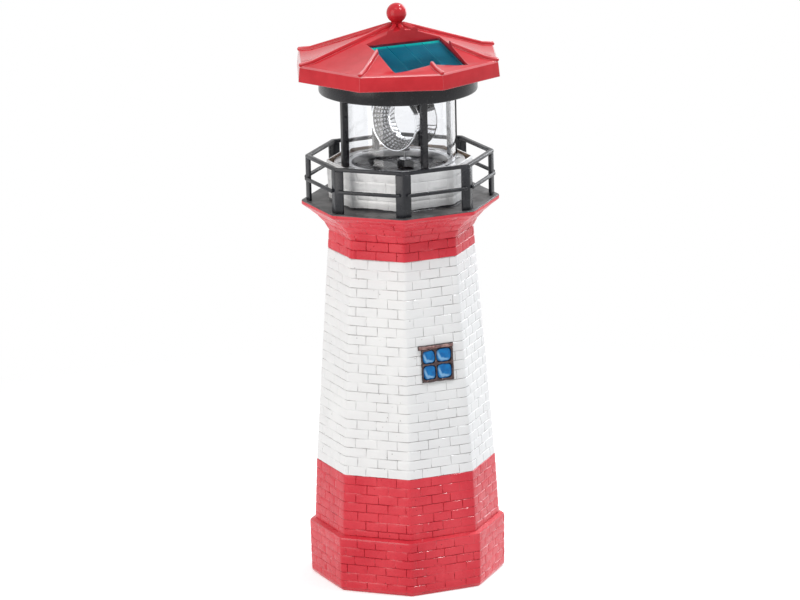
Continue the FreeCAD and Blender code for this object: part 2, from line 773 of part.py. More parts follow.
def roof_shell():
    outside = roof_outside()
    shell = outside.cut(roof_inside())
    shell = shell.fuse(roof_ribs())
    floor = panel_depth() + WELL_WALL
    well = panel_layer(-2 * FASCIA_R, floor, WELL_WALL + PANEL_GAP).common(outside)
    bosses = []
    for place in roof_screw_places():
        bosses.append(cylinder(BOSS_COLUMN_R, TRAY_Z + TRAY_FLOOR, EAVE_Z, place))
        bosses.append(cylinder(BOSS_COLUMN_R, FASCIA_Z, BALL_Z, place).common(outside))
    shell = shell.fuse([well] + bosses)
    cuts = [panel_layer(-2 * FASCIA_R, panel_depth(), PANEL_GAP)]
    cuts.append(cylinder(FINIAL_PEG_R, APEX_Z - FINIAL_SOCKET_DEPTH, BALL_Z))
    cuts.append(cylinder(FINIAL_NECK_R + PEG_GAP, APEX_Z, BALL_Z))
    wire = V(0, -PANEL_TOP_Y - PANEL_WIRE_INSET, 0)
    cuts.append(cylinder(PANEL_WIRE_R, FASCIA_Z, PANEL_TOP_Z, wire))
    for place in roof_screw_places():
        cuts.append(cylinder(SCREW_R, TRAY_Z, TRAY_Z + ROOF_PILOT_DEPTH, place))
    return shell.cut(cuts).removeSplitter()


def finial():
    """Ball with a short neck and a peg that is pressed into the roof's peak."""
    ball = Part.makeSphere(BALL_R, V(0, 0, BALL_Z))
    neck = cylinder(FINIAL_NECK_R, APEX_Z, BALL_Z)
    peg = cylinder(FINIAL_PEG_R, APEX_Z - FINIAL_PEG_LENGTH, BALL_Z)
    return ball.fuse([neck, peg]).removeSplitter()


# ---------------------------------------------------------------- solar panel

def panel_seal():
    depth = panel_depth()
    outer = panel_layer(depth - SEAL_THICKNESS, depth)
    inner = panel_layer(depth - SEAL_THICKNESS - 1, depth + 1, -SEAL_WIDTH)
    return outer.cut(inner)


def solar_backing():
    top = COVER_THICKNESS + CELL_THICKNESS
    return panel_layer(top, top + BACKING_THICKNESS)


def solar_cells():
    """Thin dark wafers side by side on the backing board."""
    sheet = panel_layer(COVER_THICKNESS, COVER_THICKNESS + CELL_THICKNESS, -CELL_MARGIN)
    pitch = (PANEL_WIDTH - 2 * CELL_MARGIN + CELL_SPACE) / CELL_COUNT
    cells = []
    for k in range(CELL_COUNT):
        x0 = -PANEL_WIDTH / 2 + CELL_MARGIN + k * pitch
        strip = block(x0, x0 + pitch - CELL_SPACE, -FASCIA_R, FASCIA_R, FASCIA_Z, BALL_Z)
        cells.append(sheet.common(strip))
    return group(cells)


def solar_cover():
    """Clear cast cover over the wafers."""
    return panel_layer(0, COVER_THICKNESS)


# ---------------------------------------------------------------- lamp

def led():
    """Five-millimetre lamp that hangs head down into the reflector's waist."""
    dome = Part.makeSphere(LED_R, V(0, 0, LED_TIP_Z + LED_R))
    flange_z = LED_TIP_Z + LED_BODY_LENGTH
    body = cylinder(LED_R, LED_TIP_Z + LED_R, flange_z)
    flange = cylinder(LED_R + LED_FLANGE, flange_z, LED_TIP_Z + LED_LENGTH)
    solid = dome.fuse([body, flange]).removeSplitter()
    solid.translate(SPIN)
    return solid


def led_post():
    """Round stem that carries the lamp under the tray's floor."""
    return cylinder(LED_POST_R, LED_TIP_Z + LED_LENGTH, TRAY_Z + TRAY_RECESS, SPIN)


def led_board():
    z = TRAY_Z + TRAY_RECESS + TRAY_WALL
    half = LED_BOARD_LENGTH / 2
    side = LED_BOARD_WIDTH / 2
    return block(SPIN_X - half, SPIN_X + half, -side, side, z, z + BOARD_THICKNESS)


# ---------------------------------------------------------------- reflector

def cup_profile():
    """Stepped bowl, as (distance from the waist, inner radius) pairs."""
    points = []
    reach = CUP_DEPTH - RIM_WIDTH - CUP_STEP
    for k in range(CUP_RINGS):
        share = k / CUP_RINGS
        following = (k + 1) / CUP_RINGS
        radius = WAIST_R + (MOUTH_R - RIM_INSET - WAIST_R) * following ** CUP_CURVE
        points.append((CUP_STEP + reach * share, radius - CUP_STEP))
        points.append((CUP_STEP + reach * following, radius))
    return points


def placed_cup(solid, side):
    """Moves a cup drawn along +X at the origin to its side of the waist."""
    solid.rotate(V(0, 0, 0), UP, REFLECTOR_YAW - 90 + (0 if side > 0 else 180))
    solid.translate(V(SPIN_X, 0, REFLECTOR_Z))
    return solid


def reflector_cup(side):
    """One half of the reflector; side +1 faces along its own +X, -1 the other way."""
    inner = [V(m, 0, r) for m, r in cup_profile()]
    rim_x = CUP_DEPTH - RIM_WIDTH
    rim_r = MOUTH_R - RIM_FACE
    rim = [V(rim_x, 0, rim_r), V(CUP_DEPTH, 0, rim_r), V(CUP_DEPTH, 0, MOUTH_R),
           V(rim_x, 0, MOUTH_R)]
    outer = [V(rim_x, 0, (rim_r + MOUTH_R) / 2)]
    outer += [V(p.x, 0, p.z + CUP_WALL) for p in reversed(inner[:-1])]
    outline = inner + rim + outer
    face = Part.Face(Part.makePolygon(outline + [outline[0]]))
    cup = face.revolve(V(0, 0, 0), V(1, 0, 0), 360)
    cup = cup.cut(Part.makeCylinder(LED_POST_R + LAMP_CLEARANCE, 2 * MOUTH_R, V(0, 0, 0), UP))
    return placed_cup(cup, side)


def cup_envelope(side):
    """Filled outer form of one cup, used to shape what holds it."""
    outer = [V(m, 0, r + CUP_WALL) for m, r in cup_profile()]
    outline = [V(0, 0, 0), V(0, 0, outer[0].z)] + outer + [V(outer[-1].x, 0, 0)]
    face = Part.Face(Part.makePolygon(outline + [outline[0]]))
    solid = face.revolve(V(0, 0, 0), V(1, 0, 0), 360)
    return placed_cup(solid, side)


def reflector_hub():
    """Saddle under the waist that holds both cups on the shaft."""
    foot = COLLAR_Z + HUB_FOOT
    post = cylinder(HUB_R, foot, REFLECTOR_Z - WAIST_R, SPIN)
    bore = cylinder(SHAFT_R, foot - 1, foot + HUB_GRIP, SPIN)
    return post.cut([cup_envelope(1), cup_envelope(-1), bore])


def reflector_shaft():
    return cylinder(SHAFT_R, GEAR_PLATE_Z, COLLAR_Z + HUB_FOOT + HUB_GRIP, SPIN)


def shaft_collar():
    """Bright washer pressed on the shaft, just above the boss."""
    return tube(COLLAR_R, SHAFT_R, COLLAR_Z, COLLAR_Z + COLLAR_THICKNESS, SPIN)


# ---------------------------------------------------------------- gears

def involute(base_r, roll):
    return base_r * math.sqrt(1 + roll * roll), roll - math.atan(roll)


def gear_outline(teeth):
    """Closed wire of an involute gear, with one tooth centred on +X."""
    pitch_r = GEAR_MODULE * teeth / 2
    base_r = pitch_r * math.cos(math.radians(PRESSURE_ANGLE))
    tip_r = pitch_r + GEAR_MODULE * ADDENDUM
    root_r = pitch_r - GEAR_MODULE * DEDENDUM
    pitch_roll = math.tan(math.radians(PRESSURE_ANGLE))
    pitch_angle = involute(base_r, pitch_roll)[1]
    half = math.pi / (2 * teeth) - TOOTH_PLAY / (2 * pitch_r)
    start_r = max(base_r, root_r + ROOT_STEP)
    rolls = [math.sqrt(max((r / base_r) ** 2 - 1, 0))
             for r in (start_r, (start_r + tip_r) / 2, tip_r)]
    flank = []
    for roll in rolls:
        radius, angle = involute(base_r, roll)
        flank.append((radius, half + pitch_angle - angle))
    edges = []
    step = 2 * math.pi / teeth

    def spot(radius, angle):
        return V(radius * math.cos(angle), radius * math.sin(angle), 0)

    for k in range(teeth):
        c = k * step
        low = [spot(r, c - a) for r, a in flank]
        high = [spot(r, c + a) for r, a in flank]
        root_in = spot(root_r, c - flank[0][1])
        root_out = spot(root_r, c + flank[0][1])
        following = spot(root_r, c + step - flank[0][1])
        edges.append(Part.LineSegment(root_in, low[0]).toShape())
        edges.append(Part.Arc(low[0], low[1], low[2]).toShape())
        edges.append(Part.Arc(low[2], spot(tip_r, c), high[2]).toShape())
        edges.append(Part.Arc(high[2], high[1], high[0]).toShape())
        edges.append(Part.LineSegment(high[0], root_out).toShape())
        edges.append(Part.Arc(root_out, spot(root_r, c + step / 2), following).toShape())
    return Part.Wire(edges)


def gear(teeth, z, thickness, place, turn):
    """Spur gear turned so that a tooth points at the angle turn, in degrees."""
    solid = Part.Face(gear_outline(teeth)).extrude(V(0, 0, thickness))
    solid.rotate(V(0, 0, 0), UP, turn)
    solid.translate(V(place.x, place.y, z))
    return solid


def mesh_turn(teeth, direction):
    """Turn that puts a gap, not a tooth, towards a direction in degrees."""
    return direction + 180 / teeth


def output_gear():
    solid = gear(WHEEL_TEETH, OUTPUT_GEAR_Z, GEAR_THICKNESS, SPIN, IDLER_ANGLE)
    hub = cylinder(GEAR_HUB_R, OUTPUT_GEAR_Z, CEILING_Z - GEAR_END_PLAY, SPIN)
    return solid.fuse(hub).cut(cylinder(SHAFT_R, OUTPUT_GEAR_Z - 1, CEILING_Z, SPIN))


def idler_gear():
    """Wheel and pinion in one piece: the pinion drives the output gear above."""
    pinion_turn = mesh_turn(PINION_TEETH, IDLER_ANGLE + 180)
    wheel = gear(WHEEL_TEETH, IDLER_WHEEL_Z, GEAR_THICKNESS, IDLER, MOTOR_ANGLE)
    pinion_z = IDLER_WHEEL_Z + GEAR_THICKNESS
    pinion_length = CEILING_Z - GEAR_END_PLAY - pinion_z
    pinion = gear(PINION_TEETH, pinion_z, pinion_length, IDLER, pinion_turn)
    foot = cylinder(IDLER_FOOT_R, GEAR_PLATE_TOP_Z + GEAR_FOOT_PLAY, IDLER_WHEEL_Z, IDLER)
    bore = cylinder(PIN_R + SHAFT_CLEARANCE, GEAR_PLATE_Z, CEILING_Z, IDLER)
    return wheel.fuse([pinion, foot]).cut(bore)


def idler_pin():
    return cylinder(PIN_R, GEAR_PLATE_Z, CEILING_Z, IDLER)


def motor_pinion():
    turn = mesh_turn(PINION_TEETH, MOTOR_ANGLE + 180)
    length = GEAR_THICKNESS + 2 * PINION_OVERHANG
    solid = gear(PINION_TEETH, IDLER_WHEEL_Z - PINION_OVERHANG, length, MOTOR, turn)
    return solid.cut(cylinder(MOTOR_SHAFT_R, IDLER_WHEEL_Z - 1, CEILING_Z, MOTOR))


def motor_shaft():
    top = IDLER_WHEEL_Z + GEAR_THICKNESS + PINION_OVERHANG
    return cylinder(MOTOR_SHAFT_R, GEAR_PLATE_Z - MOTOR_SHAFT_GRIP, top, MOTOR)


def gear_plate():
    """Plate that carries the gears' lower ends and the motor."""
    low = GEAR_PLATE_Z - 1
    high = GEAR_PLATE_TOP_Z + 1
    solid = cylinder(HOUSING_INNER_R - GEAR_PLATE_GAP, GEAR_PLATE_Z, GEAR_PLATE_TOP_Z)
    holes = [
        cylinder(SHAFT_R + SHAFT_CLEARANCE, low, high, SPIN),
        cylinder(PIN_R, low, high, IDLER),
        cylinder(MOTOR_SHAFT_R + MOTOR_HOLE_GAP, low, high, MOTOR),
        cylinder(LEAD_PASS_R, low, high, at(REAR_ANGLE, HOUSING_INNER_R - LEAD_PASS_INSET)),
    ]
    for place in plate_screw_places():
        holes.append(cylinder(SCREW_R + SCREW_HOLE_GAP, low, high, place))
    return solid.cut(holes)


def plate_screw_places():
    return [at(angle, HOUSING_INNER_R - PLATE_SCREW_INSET) for angle in (30, 150, 270)]


def plate_screws():
    """Round-headed screws from below the plate into the housing's columns."""
    screws = []
    for place in plate_screw_places():
        head = cylinder(PAN_HEAD_R, GEAR_PLATE_Z - PAN_HEAD_HEIGHT, GEAR_PLATE_Z, place)
        shank = cylinder(SCREW_R, GEAR_PLATE_Z, GEAR_PLATE_TOP_Z + PLATE_SCREW_REACH, place)
        screws.append(head.fuse(shank).removeSplitter())
    return group(screws)


def drive_motor():
    """Flat-sided can of a small motor, hung under the gear plate."""
    z1 = GEAR_PLATE_Z
    z0 = z1 - MOTOR_LENGTH
    can = cylinder(MOTOR_R, z0, z1, MOTOR)
    flats = block(MOTOR.x - MOTOR_R, MOTOR.x + MOTOR_R,
                  MOTOR.y - MOTOR_FLAT, MOTOR.y + MOTOR_FLAT, z0, z1)
    depth = MOTOR_SHAFT_GRIP + MOTOR_BORE_TAIL
    bore = cylinder(MOTOR_SHAFT_R + MOTOR_SHAFT_GAP, z1 - depth, z1 + 1, MOTOR)
    return can.common(flats).cut(bore)


# ---------------------------------------------------------------- drive housing

def cover_screw_places():
    return [at(angle, HOUSING_INNER_R - COVER_SCREW_INSET) for angle in (90, 229, 311)]


def drive_housing():
    """Can under the lantern's seat, closed on top by the black floor and its boss."""
    solid = cylinder(HOUSING_R, HOUSING_FOOT_Z, LEDGE_Z)
    room = cylinder(HOUSING_INNER_R, HOUSING_FOOT_Z - 1, CEILING_Z)
    dish = cylinder(BASE_OPENING_R + BASE_LIP + DISH_GAP, FLOOR_Z, LEDGE_Z + 1)
    shell = solid.cut([room, dish])
    boss = cylinder(BOSS_R, FLOOR_Z - COLUMN_ROOT, BOSS_Z, SPIN)
    columns = []
    for place in plate_screw_places():
        columns.append(cylinder(COLUMN_R, GEAR_PLATE_TOP_Z, CEILING_Z + COLUMN_ROOT, place))
    for place in cover_screw_places():
        top = HOUSING_FOOT_Z + COVER_COLUMN_HEIGHT
        columns.append(cylinder(COLUMN_R, HOUSING_FOOT_Z, top, place))
    shell = shell.fuse([boss] + columns)
    cuts = [cylinder(BUSH_R, CEILING_Z - 1, BOSS_Z + 1, SPIN)]
    for place in plate_screw_places():
        top = GEAR_PLATE_TOP_Z + PLATE_SCREW_REACH + PLATE_PILOT_TAIL
        cuts.append(cylinder(SCREW_R, GEAR_PLATE_TOP_Z - 1, top, place))
    for place in cover_screw_places():
        top = HOUSING_FOOT_Z + COVER_PILOT_DEPTH
        cuts.append(cylinder(SCREW_R, HOUSING_FOOT_Z - 1, top, place))
    return shell.cut(cuts).removeSplitter()


def shaft_bush():
    """Brass sleeve in the boss that the reflector's shaft turns in."""
    return tube(BUSH_R, SHAFT_R + SHAFT_CLEARANCE, CEILING_Z, BOSS_Z, SPIN)


def door_limits(grow):
    """Door opening under the battery, as x and y limits."""
    half_length = CELL_LENGTH / 2 + CELL_CLEARANCE + CONTACT_LENGTH + HOLDER_WALL - DOOR_END_INSET
    half_width = CELL_R + DOOR_SIDE_MARGIN
    return (-half_length - grow, half_length + grow,
            CELL_Y - half_width - grow, CELL_Y + half_width + grow)


def knob_slot():
    half = KNOB_SIZE / 2 + KNOB_GAP
    return (KNOB_X - half, KNOB_X + KNOB_TRAVEL + half, KNOB_Y - half, KNOB_Y + half)


def housing_cover():
    """Round lid under the housing, with the battery's opening and the switch's slot."""
    z0 = HOUSING_FOOT_Z - COVER_PLATE
    solid = cylinder(HOUSING_R, z0, HOUSING_FOOT_Z)
    cuts = [block(*door_limits(DOOR_GAP), z0 - 1, z0 + DOOR_THICKNESS + DOOR_GAP)]
    cuts.append(block(*door_limits(-DOOR_LIP), z0 - 1, HOUSING_FOOT_Z + 1))
    cuts.append(block(*knob_slot(), z0 - 1, HOUSING_FOOT_Z + 1))
    for place in cover_screw_places():
        cuts.append(screw_hole(place, z0, COVER_SCREW_LENGTH, 1))
    return solid.cut(cuts)


def cover_screws():
    z0 = HOUSING_FOOT_Z - COVER_PLATE
    return group([screw(place, z0, COVER_SCREW_LENGTH, 1) for place in cover_screw_places()])


def battery_door():
    """Flat door over the battery, with a finger rib outside."""
    z0 = HOUSING_FOOT_Z - COVER_PLATE
    plate = block(*door_limits(0), z0, z0 + DOOR_THICKNESS)
    x0, x1, y0, y1 = door_limits(0)
    rib_x = x1 - DOOR_RIB_X
    half = DOOR_RIB_LENGTH / 2
    rib = block(rib_x, rib_x + DOOR_RIB_WIDTH, CELL_Y - half, CELL_Y + half,
                z0 - DOOR_RIB_HEIGHT, z0 + DOOR_RIB_ROOT)
    return plate.fuse(rib).removeSplitter()


def cell_level():
    return HOUSING_FOOT_Z + CELL_R + CELL_CLEARANCE


def battery_holder():
    """Open-bottomed cradle over the cell, resting on the cover."""
    z = cell_level()
    half_length = CELL_LENGTH / 2 + CELL_CLEARANCE + CONTACT_LENGTH + HOLDER_WALL
    half_width = CELL_R + CELL_CLEARANCE + HOLDER_WALL
    top = z + CELL_R + CELL_CLEARANCE + HOLDER_WALL
    shell = block(-half_length, half_length, CELL_Y - half_width, CELL_Y + half_width,
                  HOUSING_FOOT_Z, top)
    room = block(-half_length + HOLDER_WALL, half_length - HOLDER_WALL,
                 CELL_Y - half_width + HOLDER_WALL, CELL_Y + half_width - HOLDER_WALL,
                 HOUSING_FOOT_Z - 1, top - HOLDER_WALL)
    return shell.cut(room)


def battery():
    """Rechargeable cell lying along X, with its button at the +X end."""
    z = cell_level()
    half = CELL_LENGTH / 2
    button = CELL_BUTTON_LENGTH
    can = Part.makeCylinder(CELL_R, CELL_LENGTH - button, V(-half, CELL_Y, z), V(1, 0, 0))
    tip = Part.makeCylinder(CELL_BUTTON_R, button, V(half - button, CELL_Y, z), V(1, 0, 0))
    return can.fuse(tip).removeSplitter()


def battery_contacts():
    """Leaf at the button end and a cone for the coil at the other end."""
    z = cell_level()
    half = CELL_LENGTH / 2
    wall = half + CELL_CLEARANCE + CONTACT_LENGTH
    side = CONTACT_SIZE / 2
    leaf = block(half + CONTACT_GAP, wall, CELL_Y - side, CELL_Y + side, z - side, z + side)
    coil = Part.makeCone(COIL_WIDE_R, COIL_NARROW_R, wall - half - CONTACT_GAP,
                         V(-wall, CELL_Y, z), V(1, 0, 0))
    return group([leaf, coil])


def power_switch():
    """Body of the slide switch, standing on the cover."""
    x = KNOB_X + KNOB_TRAVEL / 2
    z0 = HOUSING_FOOT_Z
    body = block(x - SWITCH_LENGTH / 2, x + SWITCH_LENGTH / 2,
                 KNOB_Y - SWITCH_WIDTH / 2, KNOB_Y + SWITCH_WIDTH / 2, z0, z0 + SWITCH_HEIGHT)
    x0, x1, y0, y1 = knob_slot()
    return body.cut(block(x0, x1, y0, y1, z0 - 1, z0 + SWITCH_HEIGHT / 2))


def switch_knob():
    """Slider of the switch; its tip stands just below the cover."""
    half = KNOB_SIZE / 2
    z1 = HOUSING_FOOT_Z + SWITCH_HEIGHT / 2 - KNOB_HEADROOM
    return block(KNOB_X - half, KNOB_X + half, KNOB_Y - half, KNOB_Y + half,
                 HOUSING_FOOT_Z - COVER_PLATE - KNOB_PROUD, z1)


def control_board():
    """Circuit board on top of the switch, held between it and its parts."""
    z = HOUSING_FOOT_Z + SWITCH_HEIGHT
    y = KNOB_Y + BOARD_SHIFT
    return block(-BOARD_LENGTH / 2, BOARD_LENGTH / 2, y - BOARD_WIDTH / 2, y + BOARD_WIDTH / 2,
                 z, z + BOARD_THICKNESS)


def board_parts():
    """Coil, chip and capacitor soldered to the board."""
    z = HOUSING_FOOT_Z + SWITCH_HEIGHT + BOARD_THICKNESS
    coil_place = V(INDUCTOR[0], KNOB_Y + INDUCTOR[1], 0)
    coil = cylinder(INDUCTOR_R, z, z + INDUCTOR_HEIGHT, coil_place)
    x0, x1, y0, y1 = CHIP
    chip = block(x0, x1, KNOB_Y + y0, KNOB_Y + y1, z, z + CHIP_HEIGHT)
    can_place = V(CAPACITOR[0], KNOB_Y + CAPACITOR[1], 0)
    capacitor = cylinder(CAPACITOR_R, z, z + CAPACITOR_HEIGHT, can_place)
    return group([coil, chip, capacitor])


# ---------------------------------------------------------------- write every sub-part

NODES = {
    "tower_shell": tower_shell,
    "window_frame": window_frame,
    "window_panes": window_panes,
    "window_lintel": window_lintel,
    "gallery_posts": gallery_posts,
    "gallery_handrail": gallery_handrail,
    "gallery_mid_rail": gallery_mid_rail,
    "lantern_base": lantern_base,
    "lamp_glass": lamp_glass,
    "lantern_frame": lantern_frame,
    "frame_screws": frame_screws,
    "supply_leads": supply_leads,
    "lamp_tray": lamp_tray,
    "roof_screws": roof_screws,
    "roof_shell": roof_shell,
    "finial": finial,
    "panel_seal": panel_seal,
    "solar_backing": solar_backing,
    "solar_cells": solar_cells,
    "solar_cover": solar_cover,
    "led": led,
    "led_post": led_post,
    "led_board": led_board,
    "reflector_front": lambda: reflector_cup(1),
    "reflector_rear": lambda: reflector_cup(-1),
    "reflector_hub": reflector_hub,
    "reflector_shaft": reflector_shaft,
    "shaft_collar": shaft_collar,
    "output_gear": output_gear,
    "idler_gear": idler_gear,
    "idler_pin": idler_pin,
    "motor_pinion": motor_pinion,
    "motor_shaft": motor_shaft,
    "gear_plate": gear_plate,
    "plate_screws": plate_screws,
    "drive_motor": drive_motor,
    "drive_housing": drive_housing,
    "shaft_bush": shaft_bush,
    "housing_cover": housing_cover,
    "cover_screws": cover_screws,
    "battery_door": battery_door,
    "battery_holder": battery_holder,
    "battery": battery,
    "battery_contacts": battery_contacts,
    "power_switch": power_switch,
    "switch_knob": switch_knob,
    "control_board": control_board,
    "board_parts": board_parts,
}

for node, make in NODES.items():
    save(node, make())
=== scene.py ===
import json
import math
import random

import bmesh
import bpy
from mathutils import Matrix, Vector, noise

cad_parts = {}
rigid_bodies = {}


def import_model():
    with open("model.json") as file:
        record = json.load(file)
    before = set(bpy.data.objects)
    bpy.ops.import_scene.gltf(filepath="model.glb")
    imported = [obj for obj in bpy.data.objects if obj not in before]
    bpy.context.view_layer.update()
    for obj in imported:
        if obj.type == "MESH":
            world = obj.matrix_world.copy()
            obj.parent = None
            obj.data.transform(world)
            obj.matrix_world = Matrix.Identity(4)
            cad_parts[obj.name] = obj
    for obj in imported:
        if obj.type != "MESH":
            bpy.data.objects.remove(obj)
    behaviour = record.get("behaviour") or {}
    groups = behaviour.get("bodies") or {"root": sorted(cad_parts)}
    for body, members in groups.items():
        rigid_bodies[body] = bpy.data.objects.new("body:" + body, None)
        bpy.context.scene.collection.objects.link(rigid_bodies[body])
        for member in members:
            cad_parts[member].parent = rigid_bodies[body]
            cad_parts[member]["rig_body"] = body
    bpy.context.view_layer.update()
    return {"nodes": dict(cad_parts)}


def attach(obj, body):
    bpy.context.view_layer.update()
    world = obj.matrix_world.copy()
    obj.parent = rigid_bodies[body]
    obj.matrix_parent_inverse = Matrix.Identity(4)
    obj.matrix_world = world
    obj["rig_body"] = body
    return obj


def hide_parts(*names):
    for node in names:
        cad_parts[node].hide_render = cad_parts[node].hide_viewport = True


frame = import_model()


# ---- Viewpoint ----
# The photographer stood a little to the left of the window's side and well above
# the gallery, with a long lens, so that upright edges stay almost parallel.
VIEW_AZIMUTH = -24.37
VIEW_DROP = 14.407
VIEW_ROLL = -1.245
VIEW_PLACE = (-1.2357, -2.7239, 0.94175)

eye = bpy.data.cameras.new("eye")
eye.lens = 225
eye.sensor_width = 36
eye.clip_end = 60
camera = bpy.data.objects.new("eye", eye)
bpy.context.scene.collection.objects.link(camera)
turn = Matrix.Rotation(math.radians(VIEW_AZIMUTH), 4, "Z")
nod = Matrix.Rotation(math.radians(90 - VIEW_DROP), 4, "X")
roll = Matrix.Rotation(math.radians(VIEW_ROLL), 4, "Z")
camera.matrix_world = Matrix.Translation(VIEW_PLACE) @ turn @ nod @ roll
bpy.context.scene.camera = camera
bpy.context.scene.view_settings.view_transform = "Standard"


# ---- Floor and studio light ----
# White sweep paper under two tall soft boxes, a warm one on the left and a cool one
# behind on the right. Three small lamps high up light edges, ribs and brick tops.
class Value:
    """A socket whose sums and products add nodes, so that a recipe reads as arithmetic."""

    def __init__(self, finish, socket):
        self.finish = finish
        self.socket = socket

    def join(self, operation, first, second):
        return self.finish.node("Math", {0: first, 1: second}, operation=operation)

    def __add__(self, other):
        return self.join("ADD", self, other)

    def __sub__(self, other):
        return self.join("SUBTRACT", self, other)

    def __rsub__(self, other):
        return self.join("SUBTRACT", other, self)

    def __mul__(self, other):
        return self.join("MULTIPLY", self, other)

    __radd__ = __add__
    __rmul__ = __mul__

    def rise(self, low, high, start=0.0, end=1.0):
        """Goes smoothly from start to end as the value goes from low to high."""
        ends = {"From Min": low, "From Max": high, "To Min": start, "To Max": end}
        return self.finish.node("MapRange", {"Value": self, **ends},
                                interpolation_type="SMOOTHSTEP")


class Finish:
    """The nodes of one material, or of the world where it is given as the owner."""

    def __init__(self, name, owner=None):
        self.owner = owner or bpy.data.materials.new(name)
        self.owner.use_nodes = True
        self.tree = self.owner.node_tree
        self.tree.nodes.clear()

    def node(self, kind, sockets=None, output=0, **settings):
        made = self.tree.nodes.new("ShaderNode" + kind)
        for key, value in settings.items():
            setattr(made, key, value)
        for key, value in (sockets or {}).items():
            if isinstance(value, Value):
                self.tree.links.new(value.socket, made.inputs[key])
            elif value is not None:
                socket = made.inputs[key]
                socket.default_value = (*value, 1) if socket.type == "RGBA" else value
        return Value(self, made.outputs[output]) if len(made.outputs) else None

    def place(self):
        return self.node("TexCoord", output="Object")

    def level(self, axis="Z"):
        return self.node("SeparateXYZ", {0: self.place()}, axis)

    def grain(self, size, detail=3.0, stretch=(1, 1, 1), shift=0.0):
        """Noise whose patches are about size across, in metres."""
        spread = self.node("Mapping", {
            "Vector": self.place(), "Scale": stretch, "Location": (shift, shift, shift)})
        return self.node("TexNoise", {"Vector": spread, "Scale": 1 / size, "Detail": detail})

    def patches(self, *grain, **more):
        """Grain drawn out to patches of 0 and 1 with soft borders."""
        return self.grain(*grain, **more).rise(0.3, 0.7)

    def specks(self, size, width):
        """Small round spots about size apart: 1 in a spot, 0 outside."""
        gap = self.node("TexVoronoi", {"Vector": self.place(), "Scale": 1 / size})
        return gap.rise(width, width * 0.4)

    def attribute(self, name):
        return self.node("Attribute", None, "Fac", attribute_name=name)

    def rays(self, *kinds):
        """1 for the kinds of ray that are named and 0 for the others."""
        found = [self.node("LightPath", None, f"Is {kind} Ray") for kind in kinds]
        return sum(found[1:], found[0])

    def mix(self, share, first, second):
        return self.node("Mix", {0: share, 6: first, 7: second}, 2, data_type="RGBA")

    def bump(self, height, distance, under=None):
        return self.node("Bump", {
            "Height": height, "Distance": distance, "Strength": 1.0, "Normal": under})

    def skin(self, depth, *grain, **more):
        return self.bump(self.grain(*grain, **more), depth)

    def blend(self, share, first, second):
        return self.node("MixShader", {0: share, 1: first, 2: second})

    def shader(self, colour, rough, normal=None, **others):
        named = {key.replace("_", " "): value for key, value in others.items()}
        return self.node("BsdfPrincipled", {
            "Base Color": colour, "Roughness": rough, "Normal": normal, **named})

    def done(self, shader):
        self.node("OutputMaterial", {"Surface": shader})
        return self.owner

    def surface(self, *main, **others):
        return self.done(self.shader(*main, **others))


PURE_WHITE = (1, 1, 1)
SWEEP_REACH = 14
SHADOW_FROM, SHADOW_TO = 0.16, 0.55


def sweep_paint():
    """Matt paper that shows as pure white, but for the object's shadow near its foot."""
    paint = Finish("sweep_paper")
    tooth = paint.grain(0.02).rise(0.2, 0.8, 0.985, 1.0)
    matt = paint.node("BsdfDiffuse", {
        "Color": paint.mix(tooth, (0.83, 0.83, 0.83), (0.85, 0.85, 0.85))})
    glow = paint.node("Emission", {"Color": PURE_WHITE, "Strength": 0.50})
    near = paint.node("AddShader", {0: matt, 1: glow})
    white = paint.node("Emission", {"Color": PURE_WHITE, "Strength": 1.0})
    away = paint.node("VectorMath", {0: paint.place()}, 1, operation="LENGTH")
    shown = paint.blend(away.rise(SHADOW_FROM, SHADOW_TO), near, white)
    return paint.done(paint.blend(paint.rays("Camera", "Glossy", "Transmission"), matt, shown))


sweep = bmesh.new()
bmesh.ops.create_grid(sweep, x_segments=8, y_segments=8, size=SWEEP_REACH)
sweep_mesh = bpy.data.meshes.new("sweep")
sweep.to_mesh(sweep_mesh)
sweep_floor = bpy.data.objects.new("sweep", sweep_mesh)
sweep_floor.data.materials.append(sweep_paint())
bpy.context.scene.collection.objects.link(sweep_floor)

LAMP_AIM = Vector((0, 0, 0.2))


def soft_box(name, azimuth, distance, level, size, power, colour):
    lamp = bpy.data.lights.new(name, "AREA")
    lamp.shape = "RECTANGLE"
    lamp.size, lamp.size_y = size
    lamp.energy = power
    lamp.color = colour
    holder = bpy.data.objects.new(name, lamp)
    angle = math.radians(azimuth)
    holder.location = (distance * math.sin(angle), -distance * math.cos(angle), level)
    holder.rotation_euler = (LAMP_AIM - holder.location).to_track_quat("-Z", "Y").to_euler()
    holder.visible_camera = False
    bpy.context.scene.collection.objects.link(holder)


soft_box("box_left", -74, 0.95, 0.42, (0.62, 1.1), 4.8, (1.0, 0.965, 0.93))
soft_box("box_right", 122, 1.0, 0.52, (0.34, 0.9), 3.6, (0.93, 0.96, 1.0))
soft_box("box_top", 114, 0.62, 1.20, (0.14, 0.14), 5.0, (0.97, 0.98, 1.0))
soft_box("box_front", 46, 0.68, 1.12, (0.10, 0.38), 4.5, (0.95, 0.975, 1.0))
soft_box("box_key", -30, 0.50, 1.25, (0.22, 0.22), 1.2, (1.0, 0.98, 0.96))

sky = Finish("studio", bpy.data.worlds.new("studio"))
room = sky.node("Background", {"Color": (0.96, 0.98, 1.0), "Strength": 0.52})
white_room = sky.node("Background", {"Color": PURE_WHITE, "Strength": 1.0})
sky.node("OutputWorld", {
    "Surface": sky.blend(sky.rays("Camera", "Transmission", "Glossy"), room, white_room)})
bpy.context.scene.world = sky.owner


# ---- Tower casting ----
# One hollow resin casting: plinth, bricked shaft, flare, gallery deck and drum.
# Its thin joints are cast in, each course laid half a brick over, and hand painted.
MM = 0.001


